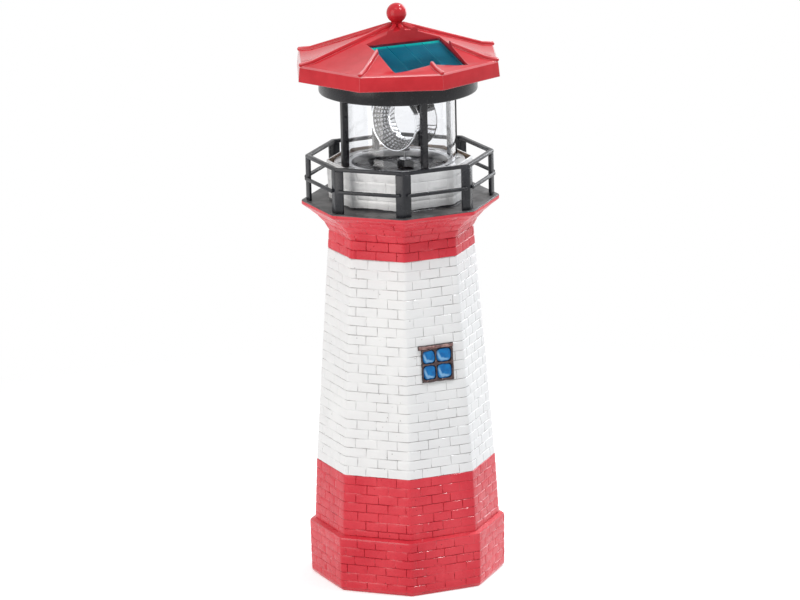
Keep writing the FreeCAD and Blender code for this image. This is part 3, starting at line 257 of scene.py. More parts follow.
def new_piece(name, work, sharp, *materials):
    """Piece from the mesh under work; edges bent by more than sharp degrees stay hard."""
    mesh = bpy.data.meshes.new(name)
    work.to_mesh(mesh)
    work.free()
    mesh.set_sharp_from_angle(angle=math.radians(sharp))
    for material in materials:
        mesh.materials.append(material)
    piece = bpy.data.objects.new(name, mesh)
    bpy.context.scene.collection.objects.link(piece)
    return piece


def stands_for(piece, node):
    """The piece takes the designed part's place, on its body."""
    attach(piece, frame["nodes"][node]["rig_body"])
    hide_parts(node)


SIDES = 8
HALF_TURN = math.pi / SIDES
FIRST_CORNER = -112.5
CORNER_ROUND = 1.3
BRICK_LENGTH = 13.2
JOINT_HALF = 0.30
JOINT_TOP = 0.22
JOINT_LEDGE = 0.50
JOINT_DEPTH = 0.66
JOINT_CLEAR = 2.4
RED, WHITE, DECK, SILVER, RAW = range(5)
UPRIGHT = (0, 1)

# Corner radius and level of the points where the outline turns.
PLINTH_FOOT, PLINTH_TOP = (60.6, 2.4), (61.1, 33.9)
SHAFT_FOOT, WHITE_FOOT, WHITE_TOP = (57.7, 35.5), (55.8, 73.6), (45.76, 208.3)
FLARE_FOOT, FLARE_BEND, FLARE_LIP = (44.9, 219.8), (47.2, 227.0), (61.0, 236.2)
DRUM_FOOT, DRUM_TOP = (44.23, 239.7), (45.18, 262.9)

# Rings without bricks: corner radius and level, slope of the skin there, and paint.
PLINTH_STEP = [((60.6, 34.35), (-0.5, 0.8), RED), ((57.75, 35.25), (-0.9, 0.4), RED)]
DECK_RINGS = [(place, UPRIGHT, paint) for *place, paint in (
    (61.0, 236.9, RED), (61.0, 238.3, RED), (60.85, 238.78, DECK),
    (60.5, 239.0, DECK), (52.5, 239.0, DECK), (44.6, 239.0, DECK))]
DRUM_RIM = [(place, UPRIGHT, paint) for *place, paint in (
    (45.1, 263.35, SILVER), (44.9, 263.5, SILVER), (43.95, 263.5, SILVER),
    (43.79, 263.3, RAW), (43.79, 259.5, RAW))]
FOOT_RINGS = ((58.2, 0.0), (59.4, 0.32), (60.28, 1.2))
SEAT_RINGS = ((34.38, 259.5), (34.38, 255.5))
CAVITY_RINGS = ((40.03, 255.5), (40.03, 219.8), (50.93, 73.6), (52.83, 35.5), (56.23, 29.4),
                (55.73, 0.0))
courses = []


def between(bottom, top, share):
    return tuple(low + (high - low) * share for low, high in zip(bottom, top))


def band(paint, bottom, top, count, first=1.0, depth=1.0):
    """Adds brick courses between two (corner radius, level) points."""
    total = count - 1 + first
    cuts = [0.0] + [(first + k) / total for k in range(count)]
    for low, high in zip(cuts, cuts[1:]):
        courses.append((paint, between(bottom, top, low), between(bottom, top, high), depth))


def flare_point(share):
    parts = (1 - share) ** 2, 2 * share * (1 - share), share ** 2
    return tuple(sum(part * value for part, value in zip(parts, values))
                 for values in zip(FLARE_FOOT, FLARE_BEND, FLARE_LIP))


band(RED, PLINTH_FOOT, PLINTH_TOP, 6, 0.85)
courses.append(PLINTH_STEP)
band(RED, SHAFT_FOOT, WHITE_FOOT, 7, 0.72)
band(WHITE, WHITE_FOOT, WHITE_TOP, 23)
band(RED, WHITE_TOP, FLARE_FOOT, 2)
for low, high in zip((0, 0.32, 0.60, 0.85), (0.32, 0.60, 0.85, 1.0)):
    courses.append((RED, flare_point(low), flare_point(high), 0.9 if high < 1 else 0.25))
courses.append(DECK_RINGS)
band(SILVER, DRUM_FOOT, DRUM_TOP, 4, 1.0, 0.16)
courses.append(DRUM_RIM)

casting = bmesh.new()
groove = casting.verts.layers.float.new("groove")
dice = random.Random(7)


def facet_width(radius):
    return 2 * radius * math.sin(HALF_TURN)


def shell_point(t, radius, level, slope, depth):
    """Place on the eight-sided wall: t runs round it, one unit for each side."""
    side = math.floor(t)
    share = t - side
    first = math.radians(FIRST_CORNER + 45 * side)
    second = first + 2 * HALF_TURN
    a = Vector((math.cos(first), math.sin(first), 0)) * radius
    b = Vector((math.cos(second), math.sin(second), 0)) * radius
    width = facet_width(radius)
    near = min(share, 1 - share) * width
    outward = first + HALF_TURN
    pull = 0.0
    if near < CORNER_ROUND:
        bend = 1 - near / CORNER_ROUND
        outward += HALF_TURN * bend * (-1 if share < 0.5 else 1)
        pull = 0.2 * CORNER_ROUND * bend * bend
    flat = Vector((math.cos(outward), math.sin(outward), 0))
    normal = (flat * slope[1] - Vector((0, 0, 1)) * slope[0]).normalized()
    place = a.lerp(b, share) + Vector((0, 0, level)) - flat * pull - normal * depth
    return place * MM


def wave(t, level, size, seed=0.0):
    angle = t * 2 * HALF_TURN
    spot = Vector((math.cos(angle) * 50 + seed, math.sin(angle) * 50 - seed, level + seed))
    return noise.noise(spot / size)


def add_point(t, ring, slope, depth=0.0, joint=0.0):
    made = casting.verts.new(shell_point(t, ring[0], ring[1], slope, depth))
    made[groove] = joint
    return (t, made)


def fill(lower, upper, paint):
    """Closes the strip between two chains of (t, vertex) that run the same way."""
    i = j = 0
    while i < len(lower) - 1 or j < len(upper) - 1:
        step_low = j == len(upper) - 1 or (
            i < len(lower) - 1 and lower[i + 1][0] <= upper[j + 1][0])
        if step_low:
            corners = (lower[i][1], lower[i + 1][1], upper[j][1])
            i += 1
        else:
            corners = (lower[i][1], upper[j + 1][1], upper[j][1])
            j += 1
        if len(set(corners)) == 3:
            face = casting.faces.new(corners)
            face.material_index = paint
            face.smooth = True


def closed(chain):
    return chain + [(chain[0][0] + SIDES, chain[0][1])]


def joints_of(course, number):
    """Upright joints of a course, as t values, half a brick over on each second course."""
    radius = (course[1][0] + course[2][0]) / 2
    width = facet_width(radius)
    found = []
    for side in range(SIDES):
        start = -1.5 if (number + side // 2) % 2 else -1.0
        for k in range(4):
            x = (start + k) * BRICK_LENGTH + dice.uniform(-1.0, 1.0)
            if abs(x) < width / 2 - JOINT_CLEAR:
                found.append(side + 0.5 + x / width)
    return found


def round_steps(radius, inner=14):
    """Even t values round the wall, closer together at the rounded corners."""
    r = CORNER_ROUND / facet_width(radius)
    steps = []
    for side in range(SIDES):
        steps += [side, side + r / 2, side + r]
        steps += [side + r + (1 - 2 * r) * k / inner for k in range(1, inner)]
        steps += [side + 1 - r, side + 1 - r / 2]
    return steps


def merged(steps, kept, gap):
    """Steps with the kept values added, and near misses left out."""
    result = [t for t in steps if all(abs(t - k) > gap or t == int(t) for k in kept)]
    return sorted(result + [k for k in kept if k not in result])


def slope_of(bottom, top):
    run = Vector((top[0] - bottom[0], top[1] - bottom[1])).normalized()
    return (run.x, run.y)


def joint_strength(t, level, seed):
    return max(0.2, min(1.0, 0.76 + 0.8 * wave(t, level, 9.0, seed)))


def plain_ring(steps, ring, slope=UPRIGHT):
    return [add_point(t, ring, slope) for t in steps]


LOW_ROW, HIGH_ROW = 0.36, 0.68
POST_MARKS, EDGE_MARKS = (0.0, 0.5, 1.0), (0.05, LOW_ROW, HIGH_ROW, 0.95)
HAIR = 1e-9


def brick_course(course, upright, lower, upper):
    """Bricks between two bed joints; each has a low crown and its own wobbly edges."""
    paint, bottom, top, strength = course
    slope = slope_of(bottom, top)
    radius = (bottom[0] + top[0]) / 2
    width = facet_width(radius)
    edge = JOINT_HALF / width
    height = top[1] - bottom[1]
    length = math.hypot(top[0] - bottom[0], height)
    low_edge, high_edge = JOINT_TOP / length, 1 - JOINT_LEDGE / length
    low_loop, high_loop = closed(lower), closed(upper)
    low_loop += [(t + SIDES, v) for t, v in low_loop[1:]]
    high_loop += [(t + SIDES, v) for t, v in high_loop[1:]]
    steps = round_steps(radius)
    steps += [t + SIDES for t in steps]
    posts = []
    for t in upright:
        k = joint_strength(t, bottom[1], 31.0)
        share = dice.uniform(0.4, 0.6)
        posts.append(add_point(t + dice.uniform(-0.12, 0.12) / width, between(bottom, top, share),
                               slope, JOINT_DEPTH * k * strength, k))
    for n, start in enumerate(upright):
        last = n + 1 == len(upright)
        stop = upright[0] + SIDES if last else upright[n + 1]
        left, right = start + edge, stop - edge
        inner = [t for t in steps if left + edge < t < right - edge]
        chain_t = [left] + inner + [right]
        lift = dice.uniform(0.0, 0.06)
        tilt = dice.uniform(-0.05, 0.05)
        drift = dice.uniform(-0.16, 0.16) / length
        rows = []
        for share in (low_edge, LOW_ROW, HIGH_ROW, high_edge):
            row = []
            rim = share in (low_edge, high_edge)
            for t in chain_t:
                end = t in (left, right)
                across = (t - left) / (right - left) - 0.5
                level = bottom[1] + share * height
                crown = 0.05 * (1 + wave(t, level, 4.0))
                depth = lift + tilt * across + crown + 0.07 * rim + 0.05 * end
                at = share
                if rim:
                    at += 0.13 * wave(t, bottom[1], 3.0, 5.0) / length + drift * across
                ring = between(bottom, top, at)
                shift = 0.1 * wave(t, level, 2.5, 9.0) / width if end else 0
                row.append((t, add_point(t + shift, ring, slope, depth * strength)[1]))
            rows.append(row)
        for a, b in zip(rows, rows[1:]):
            fill(a, b, paint)
        under, over = ([point for point in loop if start - HAIR <= point[0] <= stop + HAIR]
                       for loop in (low_loop, high_loop))
        fill(under, rows[0], paint)
        fill(rows[-1], over, paint)
        left_post = [under[0][1], posts[n][1], over[0][1]]
        right_post = [under[-1][1], posts[0 if last else n + 1][1], over[-1][1]]
        left_edge = [row[0][1] for row in rows]
        right_edge = [row[-1][1] for row in rows]
        fill(list(zip(EDGE_MARKS, left_edge)), list(zip(POST_MARKS, left_post)), paint)
        fill(list(zip(POST_MARKS, right_post)), list(zip(EDGE_MARKS, right_edge)), paint)


def bed_joint(ring, below, above, slope, strength):
    """Wavy bed joint whose points take in the upright joints on both sides."""
    width = facet_width(ring[0])
    kept = sorted(set(below + above))
    chain = []
    for t in merged(round_steps(ring[0]), kept, 0.6 / width):
        k = joint_strength(t, ring[1], 3.0)
        sway = 0.16 * wave(t, ring[1], 7.0, 2.0)
        place = (ring[0], ring[1] + sway)
        chain.append(add_point(t, place, slope, JOINT_DEPTH * k * strength + 0.1, k))
    return chain


def round_ring(steps, radius, level):
    ring = []
    for t in steps:
        angle = math.radians(FIRST_CORNER + 45 * t)
        place = Vector((radius * math.cos(angle), radius * math.sin(angle), level)) * MM
        ring.append((t, casting.verts.new(place)))
    return ring


def strip(previous, following, paint):
    """Closes the wall from one ring to the next, and hands that one on."""
    fill(closed(previous), closed(following), paint)
    return following


coarse = [side + k / 4 for side in range(SIDES) for k in range(4)]
fine = [side + k / 12 for side in range(SIDES) for k in range(12)]
foot = previous = plain_ring(coarse, FOOT_RINGS[0])
for ring in FOOT_RINGS[1:]:
    previous = strip(previous, plain_ring(coarse, ring), RED)

uprights = [[] if type(c) is list else joints_of(c, k) for k, c in enumerate(courses)]
for k, course in enumerate(courses):
    if type(course) is list:
        for ring, slope, paint in course:
            previous = strip(previous, plain_ring(round_steps(ring[0]), ring, slope), paint)
        continue
    paint, bottom, top, strength = course
    slope = slope_of(bottom, top)
    low = previous
    if k == 0 or type(courses[k - 1]) is list:
        low = bed_joint(bottom, [], uprights[k], slope, 0.0 if k == 0 else strength)
        strip(previous, low, paint)
    if type(courses[k + 1]) is list:
        strength *= 0.4
    previous = bed_joint(top, uprights[k], uprights[k + 1], slope, strength)
    brick_course(course, uprights[k], low, previous)

for ring in SEAT_RINGS:
    previous = strip(previous, round_ring(fine, *ring), RAW)
for ring in CAVITY_RINGS:
    previous = strip(previous, plain_ring(coarse, ring), RAW)
strip(previous, foot, RAW)


RED_DARK, RED_LIGHT = (0.60, 0.027, 0.045), (0.76, 0.068, 0.088)
PALE_DARK, PALE_LIGHT = (0.80, 0.80, 0.80), (0.86, 0.86, 0.852)
RED_JOINT, PALE_JOINT = (0.26, 0.005, 0.014), (0.34, 0.33, 0.32)
WHITE_FROM, WHITE_TO = 0.0736, 0.2084
BORDER = 0.0001


def resin_paint(name, rough, joint_share):
    """Brushed paint on cast resin: streaks, pin holes, darker joints and wavy borders."""
    paint = Finish(name)
    streak = paint.grain(0.016, 4, (1, 1, 0.35)).rise(0.25, 0.75)
    patch = paint.grain(0.045, 2, shift=3.0).rise(0.3, 0.75)
    joint = paint.attribute("groove").rise(0.30, 0.85)
    ledge = paint.attribute("groove").rise(0.03, 0.3)
    fine = paint.grain(0.0011, 3, shift=1.0)
    holes = paint.specks(0.0046, 0.10) * paint.grain(0.009, 1, shift=8.0).rise(0.42, 0.52)
    drift = paint.grain(0.016, 2, shift=11.0).rise(0.2, 0.8, -0.0003, 0.0003)
    height = paint.level() + drift
    pale = height.rise(WHITE_FROM - BORDER, WHITE_FROM + BORDER)
    pale = pale - height.rise(WHITE_TO - BORDER, WHITE_TO + BORDER)
    colour = paint.mix(pale, RED_DARK, PALE_DARK)
    light = paint.mix(pale, RED_LIGHT, PALE_LIGHT)
    joint_colour = paint.mix(pale, RED_JOINT, PALE_JOINT)
    tone = paint.mix(streak * 0.55 + patch * 0.45, colour, light)
    # Darker in the joints, most at their core.
    joint_darkening = joint * joint_share * paint.grain(0.0045, 2, shift=5.0).rise(0.3, 0.6, 0.35, 1.0)
    tone = paint.mix(joint_darkening, tone, joint_colour)
    tone = paint.mix(holes * 0.8, tone, joint_colour)
    under = paint.bump(fine, 0.00012)
    normal = paint.bump(1 - holes, 0.00025, under)
    gloss = paint.grain(0.006, 3, shift=2.0).rise(0.3, 0.7, rough - 0.07, rough + 0.09)
    return paint.surface(tone, gloss, normal, Specular_IOR_Level=0.2,
                         Coat_Weight=ledge * 0.6, Coat_Roughness=0.12)


def drum_paint():
    """Thin silver paint, brushed upright, with the deck's black run up over its foot."""
    paint = Finish("drum_silver")
    brush = paint.grain(0.0035, 5, (1, 1, 0.18), 4.0).rise(0.25, 0.75)
    patch = paint.patches(0.010, 3, (1, 1, 0.4), 2.0)
    tone = paint.mix(brush * 0.4 + patch * 0.6, (0.80, 0.80, 0.80), (0.95, 0.95, 0.945))
    joint = paint.attribute("groove").rise(0.3, 1.0)
    tone = paint.mix(joint * 0.3, tone, (0.25, 0.24, 0.24))
    edge = paint.grain(0.020, 5, (1, 1, 0.3), 6.0).rise(0.3, 0.85, -0.0006, 0.0011)
    black = (0.2401 + edge - paint.level()).rise(-0.0002, 0.0002)
    tone = paint.mix(black, tone, (0.022, 0.022, 0.026))
    metal = (1 - black) * 0.12
    normal = paint.skin(0.00010, 0.0012, 3)
    return paint.surface(tone, 0.34, normal, Metallic=metal)


def clouded(name, dark, light, patch, rough, depth, *skin):
    """Plain finish: patches of two tones on a skin that is grained to a depth."""
    paint = Finish(name)
    tone = paint.mix(paint.patches(patch, 4), dark, light)
    return paint.surface(tone, rough, paint.skin(depth, *skin))


# The deck's black is brushed on thinly. The resin is left bare inside the tower.
deck_black = clouded("deck_black", (0.035, 0.034, 0.036), (0.13, 0.125, 0.125),
                     0.009, 0.45, 0.00018, 0.0016, 4)
bare_resin = clouded("bare_resin", (0.20, 0.13, 0.09), (0.36, 0.27, 0.20),
                     0.012, 0.6, 0.0002, 0.0018, 3)
tower = new_piece(
    "tower_casting", casting, 32,
    resin_paint("brick_red", 0.30, 0.75), resin_paint("brick_white", 0.36, 0.85),
    deck_black, drum_paint(), bare_resin)
stands_for(tower, "tower_shell")


# ---- Window ----
# Cast on the front wall and picked out by hand: a dark brown frame with a cross
# bar and a rose-brown lintel, and four thick, domed drops of blue enamel.
WALL_FLAT = 46.77
WALL_LEVEL = 143.1
WALL_LEAN = 0.0689
RELIEF_ROOT = 0.9
WOBBLE = 0.26
PANES = ((-8.5, -0.55, 134.6, 143.0), (-8.7, -0.75, 144.5, 152.3),
         (0.65, 10.1, 134.4, 143.1), (0.55, 10.2, 144.6, 152.8))
PANE_ROUND = 1.6
FAR_OUT = 9.0


def on_wall(across, level, proud):
    """Place on the window wall, in metres, from millimetres across, up and proud."""
    lean = math.hypot(1, WALL_LEAN)
    y = -(WALL_FLAT - WALL_LEAN * (level - WALL_LEVEL)) - proud / lean
    return Vector((across, y, level + proud * WALL_LEAN / lean)) * MM


def join_rings(work, rings):
    """Smooth faces between each closed ring of points and the next."""
    for a, b in zip(rings, rings[1:]):
        for n in range(len(a)):
            m = (n + 1) % len(a)
            work.faces.new((a[n], a[m], b[m], b[n])).smooth = True


def relief(name, node, left, right, low, high, step, height, material):
    """Cast relief: a grid whose points stand proud of the wall by height(x, z, edge)."""
    work = bmesh.new()
    raised = work.verts.layers.float.new("raised")
    columns = round((right - left) / step)
    rows = round((high - low) / step)
    grid = []
    for j in range(rows + 1):
        line = []
        for i in range(columns + 1):
            x = left + (right - left) * i / columns
            z = low + (high - low) * j / rows
            rim = min(i, columns - i, j, rows - j) * step
            lift = height(x, z, rim)
            sway, rise = (WOBBLE * noise.noise(Vector((x, z, seed)) / 2.6) for seed in (4, 9))
            point = work.verts.new(on_wall(x + sway, z + rise, lift))
            point[raised] = lift
            line.append(point)
        grid.append(line)
    for a, b in zip(grid, grid[1:]):
        for i in range(columns):
            work.faces.new((a[i], a[i + 1], b[i + 1], b[i]))
    rim_points = grid[0][:] + [line[-1] for line in grid[1:]]
    rim_points += grid[-1][-2::-1] + [line[0] for line in grid[-2:0:-1]]
    sunk = [work.verts.new(p.co + Vector((0, RELIEF_ROOT * MM, 0))) for p in rim_points]
    join_rings(work, [rim_points[::-1], sunk[::-1]])
    work.faces.new(sunk[::-1])
    bmesh.ops.recalc_face_normals(work, faces=work.faces)
    for face in work.faces:
        face.smooth = len(face.verts) == 4
    stands_for(new_piece(name, work, 70, material), node)


def pane_gap(x, z):
    """Distance from the nearest pane's rounded outline; negative inside it."""
    found = FAR_OUT
    for left, right, low, high in PANES:
        dx = abs(x - (left + right) / 2) - (right - left) / 2 + PANE_ROUND
        dz = abs(z - (low + high) / 2) - (high - low) / 2 + PANE_ROUND
        outside = math.hypot(max(dx, 0), max(dz, 0)) + min(max(dx, dz), 0)
        found = min(found, outside - PANE_ROUND)
    return found


def soft_step(low, high, value):
    share = max(0.0, min(1.0, (value - low) / (high - low)))
    return share * share * (3 - 2 * share)


def frame_height(x, z, rim):
    lump = noise.noise(Vector((x, z, 1)) / 1.7)
    bar = soft_step(-0.15, 0.45, pane_gap(x, z) + 0.22 * lump)
    return 0.10 + (1.15 + 0.22 * lump) * bar * soft_step(-0.2, 0.5, rim)


def lintel_height(x, z, rim):
    lump = noise.noise(Vector((x, z, 7)) / 2.0)
    return 0.15 + (1.45 + 0.25 * lump) * soft_step(-0.3, 0.7, rim)


def frame_paint():
    """Brown brushed over the raised bars, with black left in the corners of the relief."""
    paint = Finish("window_brown")
    top = paint.attribute("raised").rise(0.55, 1.15)
    wear = paint.grain(0.0022, 4).rise(0.35, 0.65)
    tone = paint.mix(top * (0.35 + wear * 0.65), (0.008, 0.004, 0.006), (0.080, 0.038, 0.036))
    glint = paint.grain(0.0014, 2, shift=3.0).rise(0.62, 0.72) * top
    tone = paint.mix(glint * 0.6, tone, (0.42, 0.27, 0.23))
    normal = paint.skin(0.00012, 0.0007, 3)
    return paint.surface(tone, wear.rise(0, 1, 0.30, 0.46), normal)


def lintel_paint():
    """Rose brown dabbed over black."""
    paint = Finish("window_rose")
    top = paint.attribute("raised").rise(0.5, 1.3)
    wear = paint.grain(0.0026, 4).rise(0.35, 0.65)
    tone = paint.mix(wear, (0.13, 0.055, 0.052), (0.40, 0.24, 0.21))
    tone = paint.mix(top, (0.014, 0.007, 0.009), tone)
    normal = paint.skin(0.00012, 0.0008, 3)
    return paint.surface(tone, wear.rise(0, 1, 0.30, 0.46), normal)


def enamel_blue():
    """Thick gloss blue, with a painted highlight: a pale spot and crescent low in each drop."""
    paint = Finish("window_blue")
    painted_glint = paint.attribute("painted_glint")
    cloud = paint.patches(0.0030, 3)
    edge = paint.attribute("raised").rise(0.25, 0.85)
    tone = paint.mix(cloud, (0.0, 0.115, 0.36), (0.0, 0.185, 0.50))
    tone = paint.mix(1 - edge, tone, (0.0, 0.040, 0.14))
    tone = paint.mix(painted_glint * 0.6, tone, (0.34, 0.62, 0.86))
    normal = paint.skin(0.00016, 0.0022, 2, shift=2.0)
    return paint.surface(tone, 0.14, normal, Specular_IOR_Level=0.3)


WINDOW_BOX = (-9.6, 11.8, 132.6, 153.6)
LINTEL_BOX = (-11.3, 12.0, 153.2, 155.5)
relief("window_casting", "window_frame", *WINDOW_BOX, 0.24, frame_height, frame_paint())
relief("lintel_casting", "window_lintel", *LINTEL_BOX, 0.26, lintel_height, lintel_paint())

PANE_STEPS = 56
PANE_RINGS = 13
SQUARENESS = 3.4
OVERLAP = 0.3

enamel = bmesh.new()
dome = enamel.verts.layers.float.new("raised")
painted_glint = enamel.verts.layers.float.new("painted_glint")
for number, (left, right, low, high) in enumerate(PANES):
    middle = Vector(((left + right) / 2, (low + high) / 2))
    reach = Vector(((right - left) / 2 + OVERLAP, (high - low) / 2 + OVERLAP))
    rings = []
    for k in range(PANE_RINGS):
        out = 1 - k / PANE_RINGS
        ring = []
        for n in range(PANE_STEPS):
            angle = 2 * math.pi * n / PANE_STEPS
            c, s = math.cos(angle), math.sin(angle)
            blob = (abs(c) ** SQUARENESS + abs(s) ** SQUARENESS) ** (-1 / SQUARENESS)
            blob *= 1 + 0.05 * noise.noise(Vector((c, s, number * 3.0)) * 1.4)
            x = middle.x + reach.x * c * out * blob
            z = middle.y + reach.y * s * out * blob
            lump = 0.10 * noise.noise(Vector((x, z, 5)) / 2.2)
            lift = 0.12 + (1.12 + lump) * (1 - out ** 3.0) ** 0.55
            point = enamel.verts.new(on_wall(x, z, lift))
            point[dome] = lift
            # Painted highlight: a pale spot low on the left and a crescent low in each drop,
            # where a dome mirrors the bright floor.
            spot = math.hypot(c * out + 0.22, s * out + 0.52)
            bow = math.hypot(c * out - 0.15, s * out - 0.25)
            crescent = soft_step(0.62, 0.76, bow) * soft_step(1.02, 0.92, bow)
            aim = soft_step(-0.2, 0.5, -0.65 * c - 0.76 * s)
            point[painted_glint] = max(0.8 * soft_step(0.34, 0.16, spot), crescent * aim)
            ring.append(point)
        rings.append(ring)
    join_rings(enamel, rings)
    crown = enamel.verts.new(sum((p.co for p in rings[-1]), Vector()) / PANE_STEPS)
    crown[dome] = 1.2
    for n in range(PANE_STEPS):
        corners = rings[-1][n], rings[-1][(n + 1) % PANE_STEPS], crown
        enamel.faces.new(corners).smooth = True
    enamel.faces.new(rings[0][::-1])
bmesh.ops.recalc_face_normals(enamel, faces=enamel.faces)
stands_for(new_piece("window_drops", enamel, 180, enamel_blue()), "window_panes")


# ---- Gallery railing ----
# Moulded black plastic: bent plate posts on the deck's corners, a flat handrail
# on top and a bar across each side, their edges broken by the mould's radius.
def work_in(piece):
    """Works the piece's modifiers into its mesh."""
    bpy.context.view_layer.update()
    held = piece.evaluated_get(bpy.context.evaluated_depsgraph_get())
    mesh = bpy.data.meshes.new_from_object(held)
    piece.modifiers.clear()
    piece.data = mesh


def softened(piece, sharp):
    """Smooth shading but for edges bent by more than sharp degrees."""
    for face in piece.data.polygons:
        face.use_smooth = True
        face.material_index = 0
    piece.data.set_sharp_from_angle(angle=math.radians(sharp))


def first_solid(work):
    """Leaves one connected solid of a mesh, the one that holds its first point."""
    work.verts.ensure_lookup_table()
    found, reached = set(), {work.verts[0]}
    while reached:
        found |= reached
        reached = {link.other_vert(p) for p in reached for link in p.link_edges} - found
    bmesh.ops.delete(work, geom=[v for v in work.verts if v not in found], context="VERTS")


WELD = 2e-6
FLAT_ENOUGH = math.radians(0.6)


def moulded(name, node, material, radius, segments=2, angle=32, smooth=38, copies=1):
    """Copy of a designed part with its edges rounded by a radius in millimetres.
    A part of several like solids is made once and copied round the upright axis."""
    work = bmesh.new()
    work.from_mesh(frame["nodes"][node].data)
    bmesh.ops.remove_doubles(work, verts=work.verts, dist=WELD)
    if copies > 1:
        first_solid(work)
    bmesh.ops.dissolve_limit(work, angle_limit=FLAT_ENOUGH, verts=work.verts, edges=work.edges)
    piece = new_piece(name, work, smooth, material)
    rounding = piece.modifiers.new("rounding", "BEVEL")
    rounding.width = radius * MM
    rounding.segments = segments
    rounding.limit_method = "ANGLE"
    rounding.angle_limit = math.radians(angle)
    work_in(piece)
    if copies > 1:
        copied_round(piece, material, copies, 0, 360 / copies)
    softened(piece, smooth)
    stands_for(piece, node)
    return piece


def moulded_black(name, dark, light, rough, shine=0.5):
    """Black plastic with soft moulding marks and a dry, slightly worn skin."""
    plastic = Finish(name)
    flow = plastic.patches(0.011, 4, (1, 1, 0.6))
    scuff = plastic.grain(0.0016, 4, shift=4.0).rise(0.56, 0.72)
    tone = plastic.mix(flow, dark, light)
    tone = plastic.mix(scuff * 0.14, tone, (0.12, 0.12, 0.125))
    gloss = plastic.grain(0.006, 3, shift=3.0).rise(0.3, 0.7, rough - 0.06, rough + 0.08)
    normal = plastic.skin(0.00006, 0.0009, 3, shift=7.0)
    return plastic.surface(tone, gloss, normal, Specular_IOR_Level=shine)


def copied_round(piece, material, copies, first, step):
    """Works copies of a piece round the upright axis into its mesh; angles in degrees."""
    tree = bpy.data.node_groups.new("copies_round_axis", "GeometryNodeTree")
    keys = {}
    for side, name, kind in (("OUTPUT", "Ring", "Geometry"), ("INPUT", "Piece", "Geometry"),
                             ("INPUT", "Copies", "Int"), ("INPUT", "First angle", "Float"),
                             ("INPUT", "Step", "Float")):
        made = tree.interface.new_socket(name, in_out=side, socket_type="NodeSocket" + kind)
        keys[name] = made.identifier
    inputs, points, index, angle, turned, copy, real, paint, out = (
        tree.nodes.new(kind) for kind in (
            "NodeGroupInput", "GeometryNodePoints", "GeometryNodeInputIndex", "ShaderNodeMath",
            "ShaderNodeCombineXYZ", "GeometryNodeInstanceOnPoints",
            "GeometryNodeRealizeInstances", "GeometryNodeSetMaterial", "NodeGroupOutput"))
    angle.operation = "MULTIPLY_ADD"
    paint.inputs["Material"].default_value = material
    for node, socket, into, end in (
            (inputs, "Copies", points, "Count"), (index, 0, angle, 0),
            (inputs, "Step", angle, 1), (inputs, "First angle", angle, 2),
            (angle, 0, turned, "Z"), (points, 0, copy, "Points"),
            (inputs, "Piece", copy, "Instance"), (turned, 0, copy, "Rotation"),
            (copy, 0, real, 0), (real, 0, paint, 0), (paint, 0, out, 0)):
        tree.links.new(node.outputs[socket], into.inputs[end])
    ring = piece.modifiers.new("ring", "NODES")
    ring.node_group = tree
    ring[keys["Copies"]] = copies
    ring[keys["First angle"]] = math.radians(first)
    ring[keys["Step"]] = math.radians(step)
    work_in(piece)


rail_black = moulded_black(
    "rail_black", (0.008, 0.009, 0.012), (0.016, 0.017, 0.022), 0.30, 0.42)
moulded("railing_posts", "gallery_posts", rail_black, 0.35, copies=8)
moulded("railing_handrail", "gallery_handrail", rail_black, 0.5)
moulded("railing_bars", "gallery_mid_rail", rail_black, 0.5, copies=8)


# ---- Lantern seat, posts and tube ----
# A silver-painted disc drops into the drum. Four black posts stand on it round a
# clear tube, which is moulded acrylic with polished ends.
def silver_seat():
    """Silver paint on plastic: fine flake with a light clouding."""
    paint = Finish("seat_silver")
    flake = paint.patches(0.0006, 2)
    cloud = paint.patches(0.014, 4, shift=2.0)
    tone = paint.mix(flake * 0.3 + cloud * 0.7, (0.50, 0.50, 0.51), (0.74, 0.74, 0.745))
    normal = paint.bump(flake, 0.00004)
    return paint.surface(tone, cloud.rise(0, 1, 0.30, 0.42), normal, Metallic=0.6)


def see_through(clear, sheet, tint):
    """Clear plastic whose shadow is mostly light that has passed through it."""
    through = clear.node("BsdfTransparent", {"Color": tint})
    return clear.done(clear.blend(clear.rays("Shadow") * 0.95, sheet, through))


def clear_moulding(name, tint, ior, rough):
    """Polished clear plastic with faint flow lines."""
    clear = Finish(name)
    flow = clear.patches(0.03, 2, (1, 1, 0.12))
    gloss = clear.grain(0.012, 3, shift=3.0).rise(0.3, 0.7, rough, rough + 0.03)
    tone = clear.mix(flow * 0.4, tint, PURE_WHITE)
    glass = clear.shader(tone, gloss, clear.bump(flow, 0.00003), IOR=ior, Transmission_Weight=1.0)
    return see_through(clear, glass, (0.94, 0.95, 0.96))


def lathe(name, node, profile, steps, material, middle=0.0):
    """Turned piece from a closed outline of (radius, level) points, its axis at x = middle."""
    work = bmesh.new()
    rings = []
    for k in range(steps):
        angle = 2 * math.pi * k / steps
        rings.append([
            work.verts.new(Vector((middle + r * math.cos(angle), r * math.sin(angle), z)) * MM)
            for r, z in profile])
    join_rings(work, rings + rings[:1])
    bmesh.ops.recalc_face_normals(work, faces=work.faces)
    stands_for(new_piece(name, work, 30, material), node)


post_black = moulded_black(
    "post_black", (0.010, 0.010, 0.012), (0.020, 0.020, 0.024), 0.30)
moulded("lantern_seat", "lantern_base", silver_seat(), 0.25)
moulded("lantern_posts", "lantern_frame", post_black, 0.3)
TUBE_OUTLINE = ((33.0, 262.3), (33.25, 262.0), (34.25, 262.0), (34.5, 262.3),
                (34.5, 308.2), (34.25, 308.5), (33.25, 308.5), (33.0, 308.2))
ACRYLIC_IOR = 1.45
lathe("lamp_tube", "lamp_glass", TUBE_OUTLINE, 192,
      clear_moulding("tube_clear", (0.97, 0.98, 1.0), ACRYLIC_IOR, 0.01))


# ---- Tray, roof and finial ----
# A black round pan closes the lantern from above. The red roof is one moulding
# with raised hips; its ball is moulded with it and stands on small claws.
EDGE_RADIUS = 0.0007
PANEL_HEAD = 0.3375


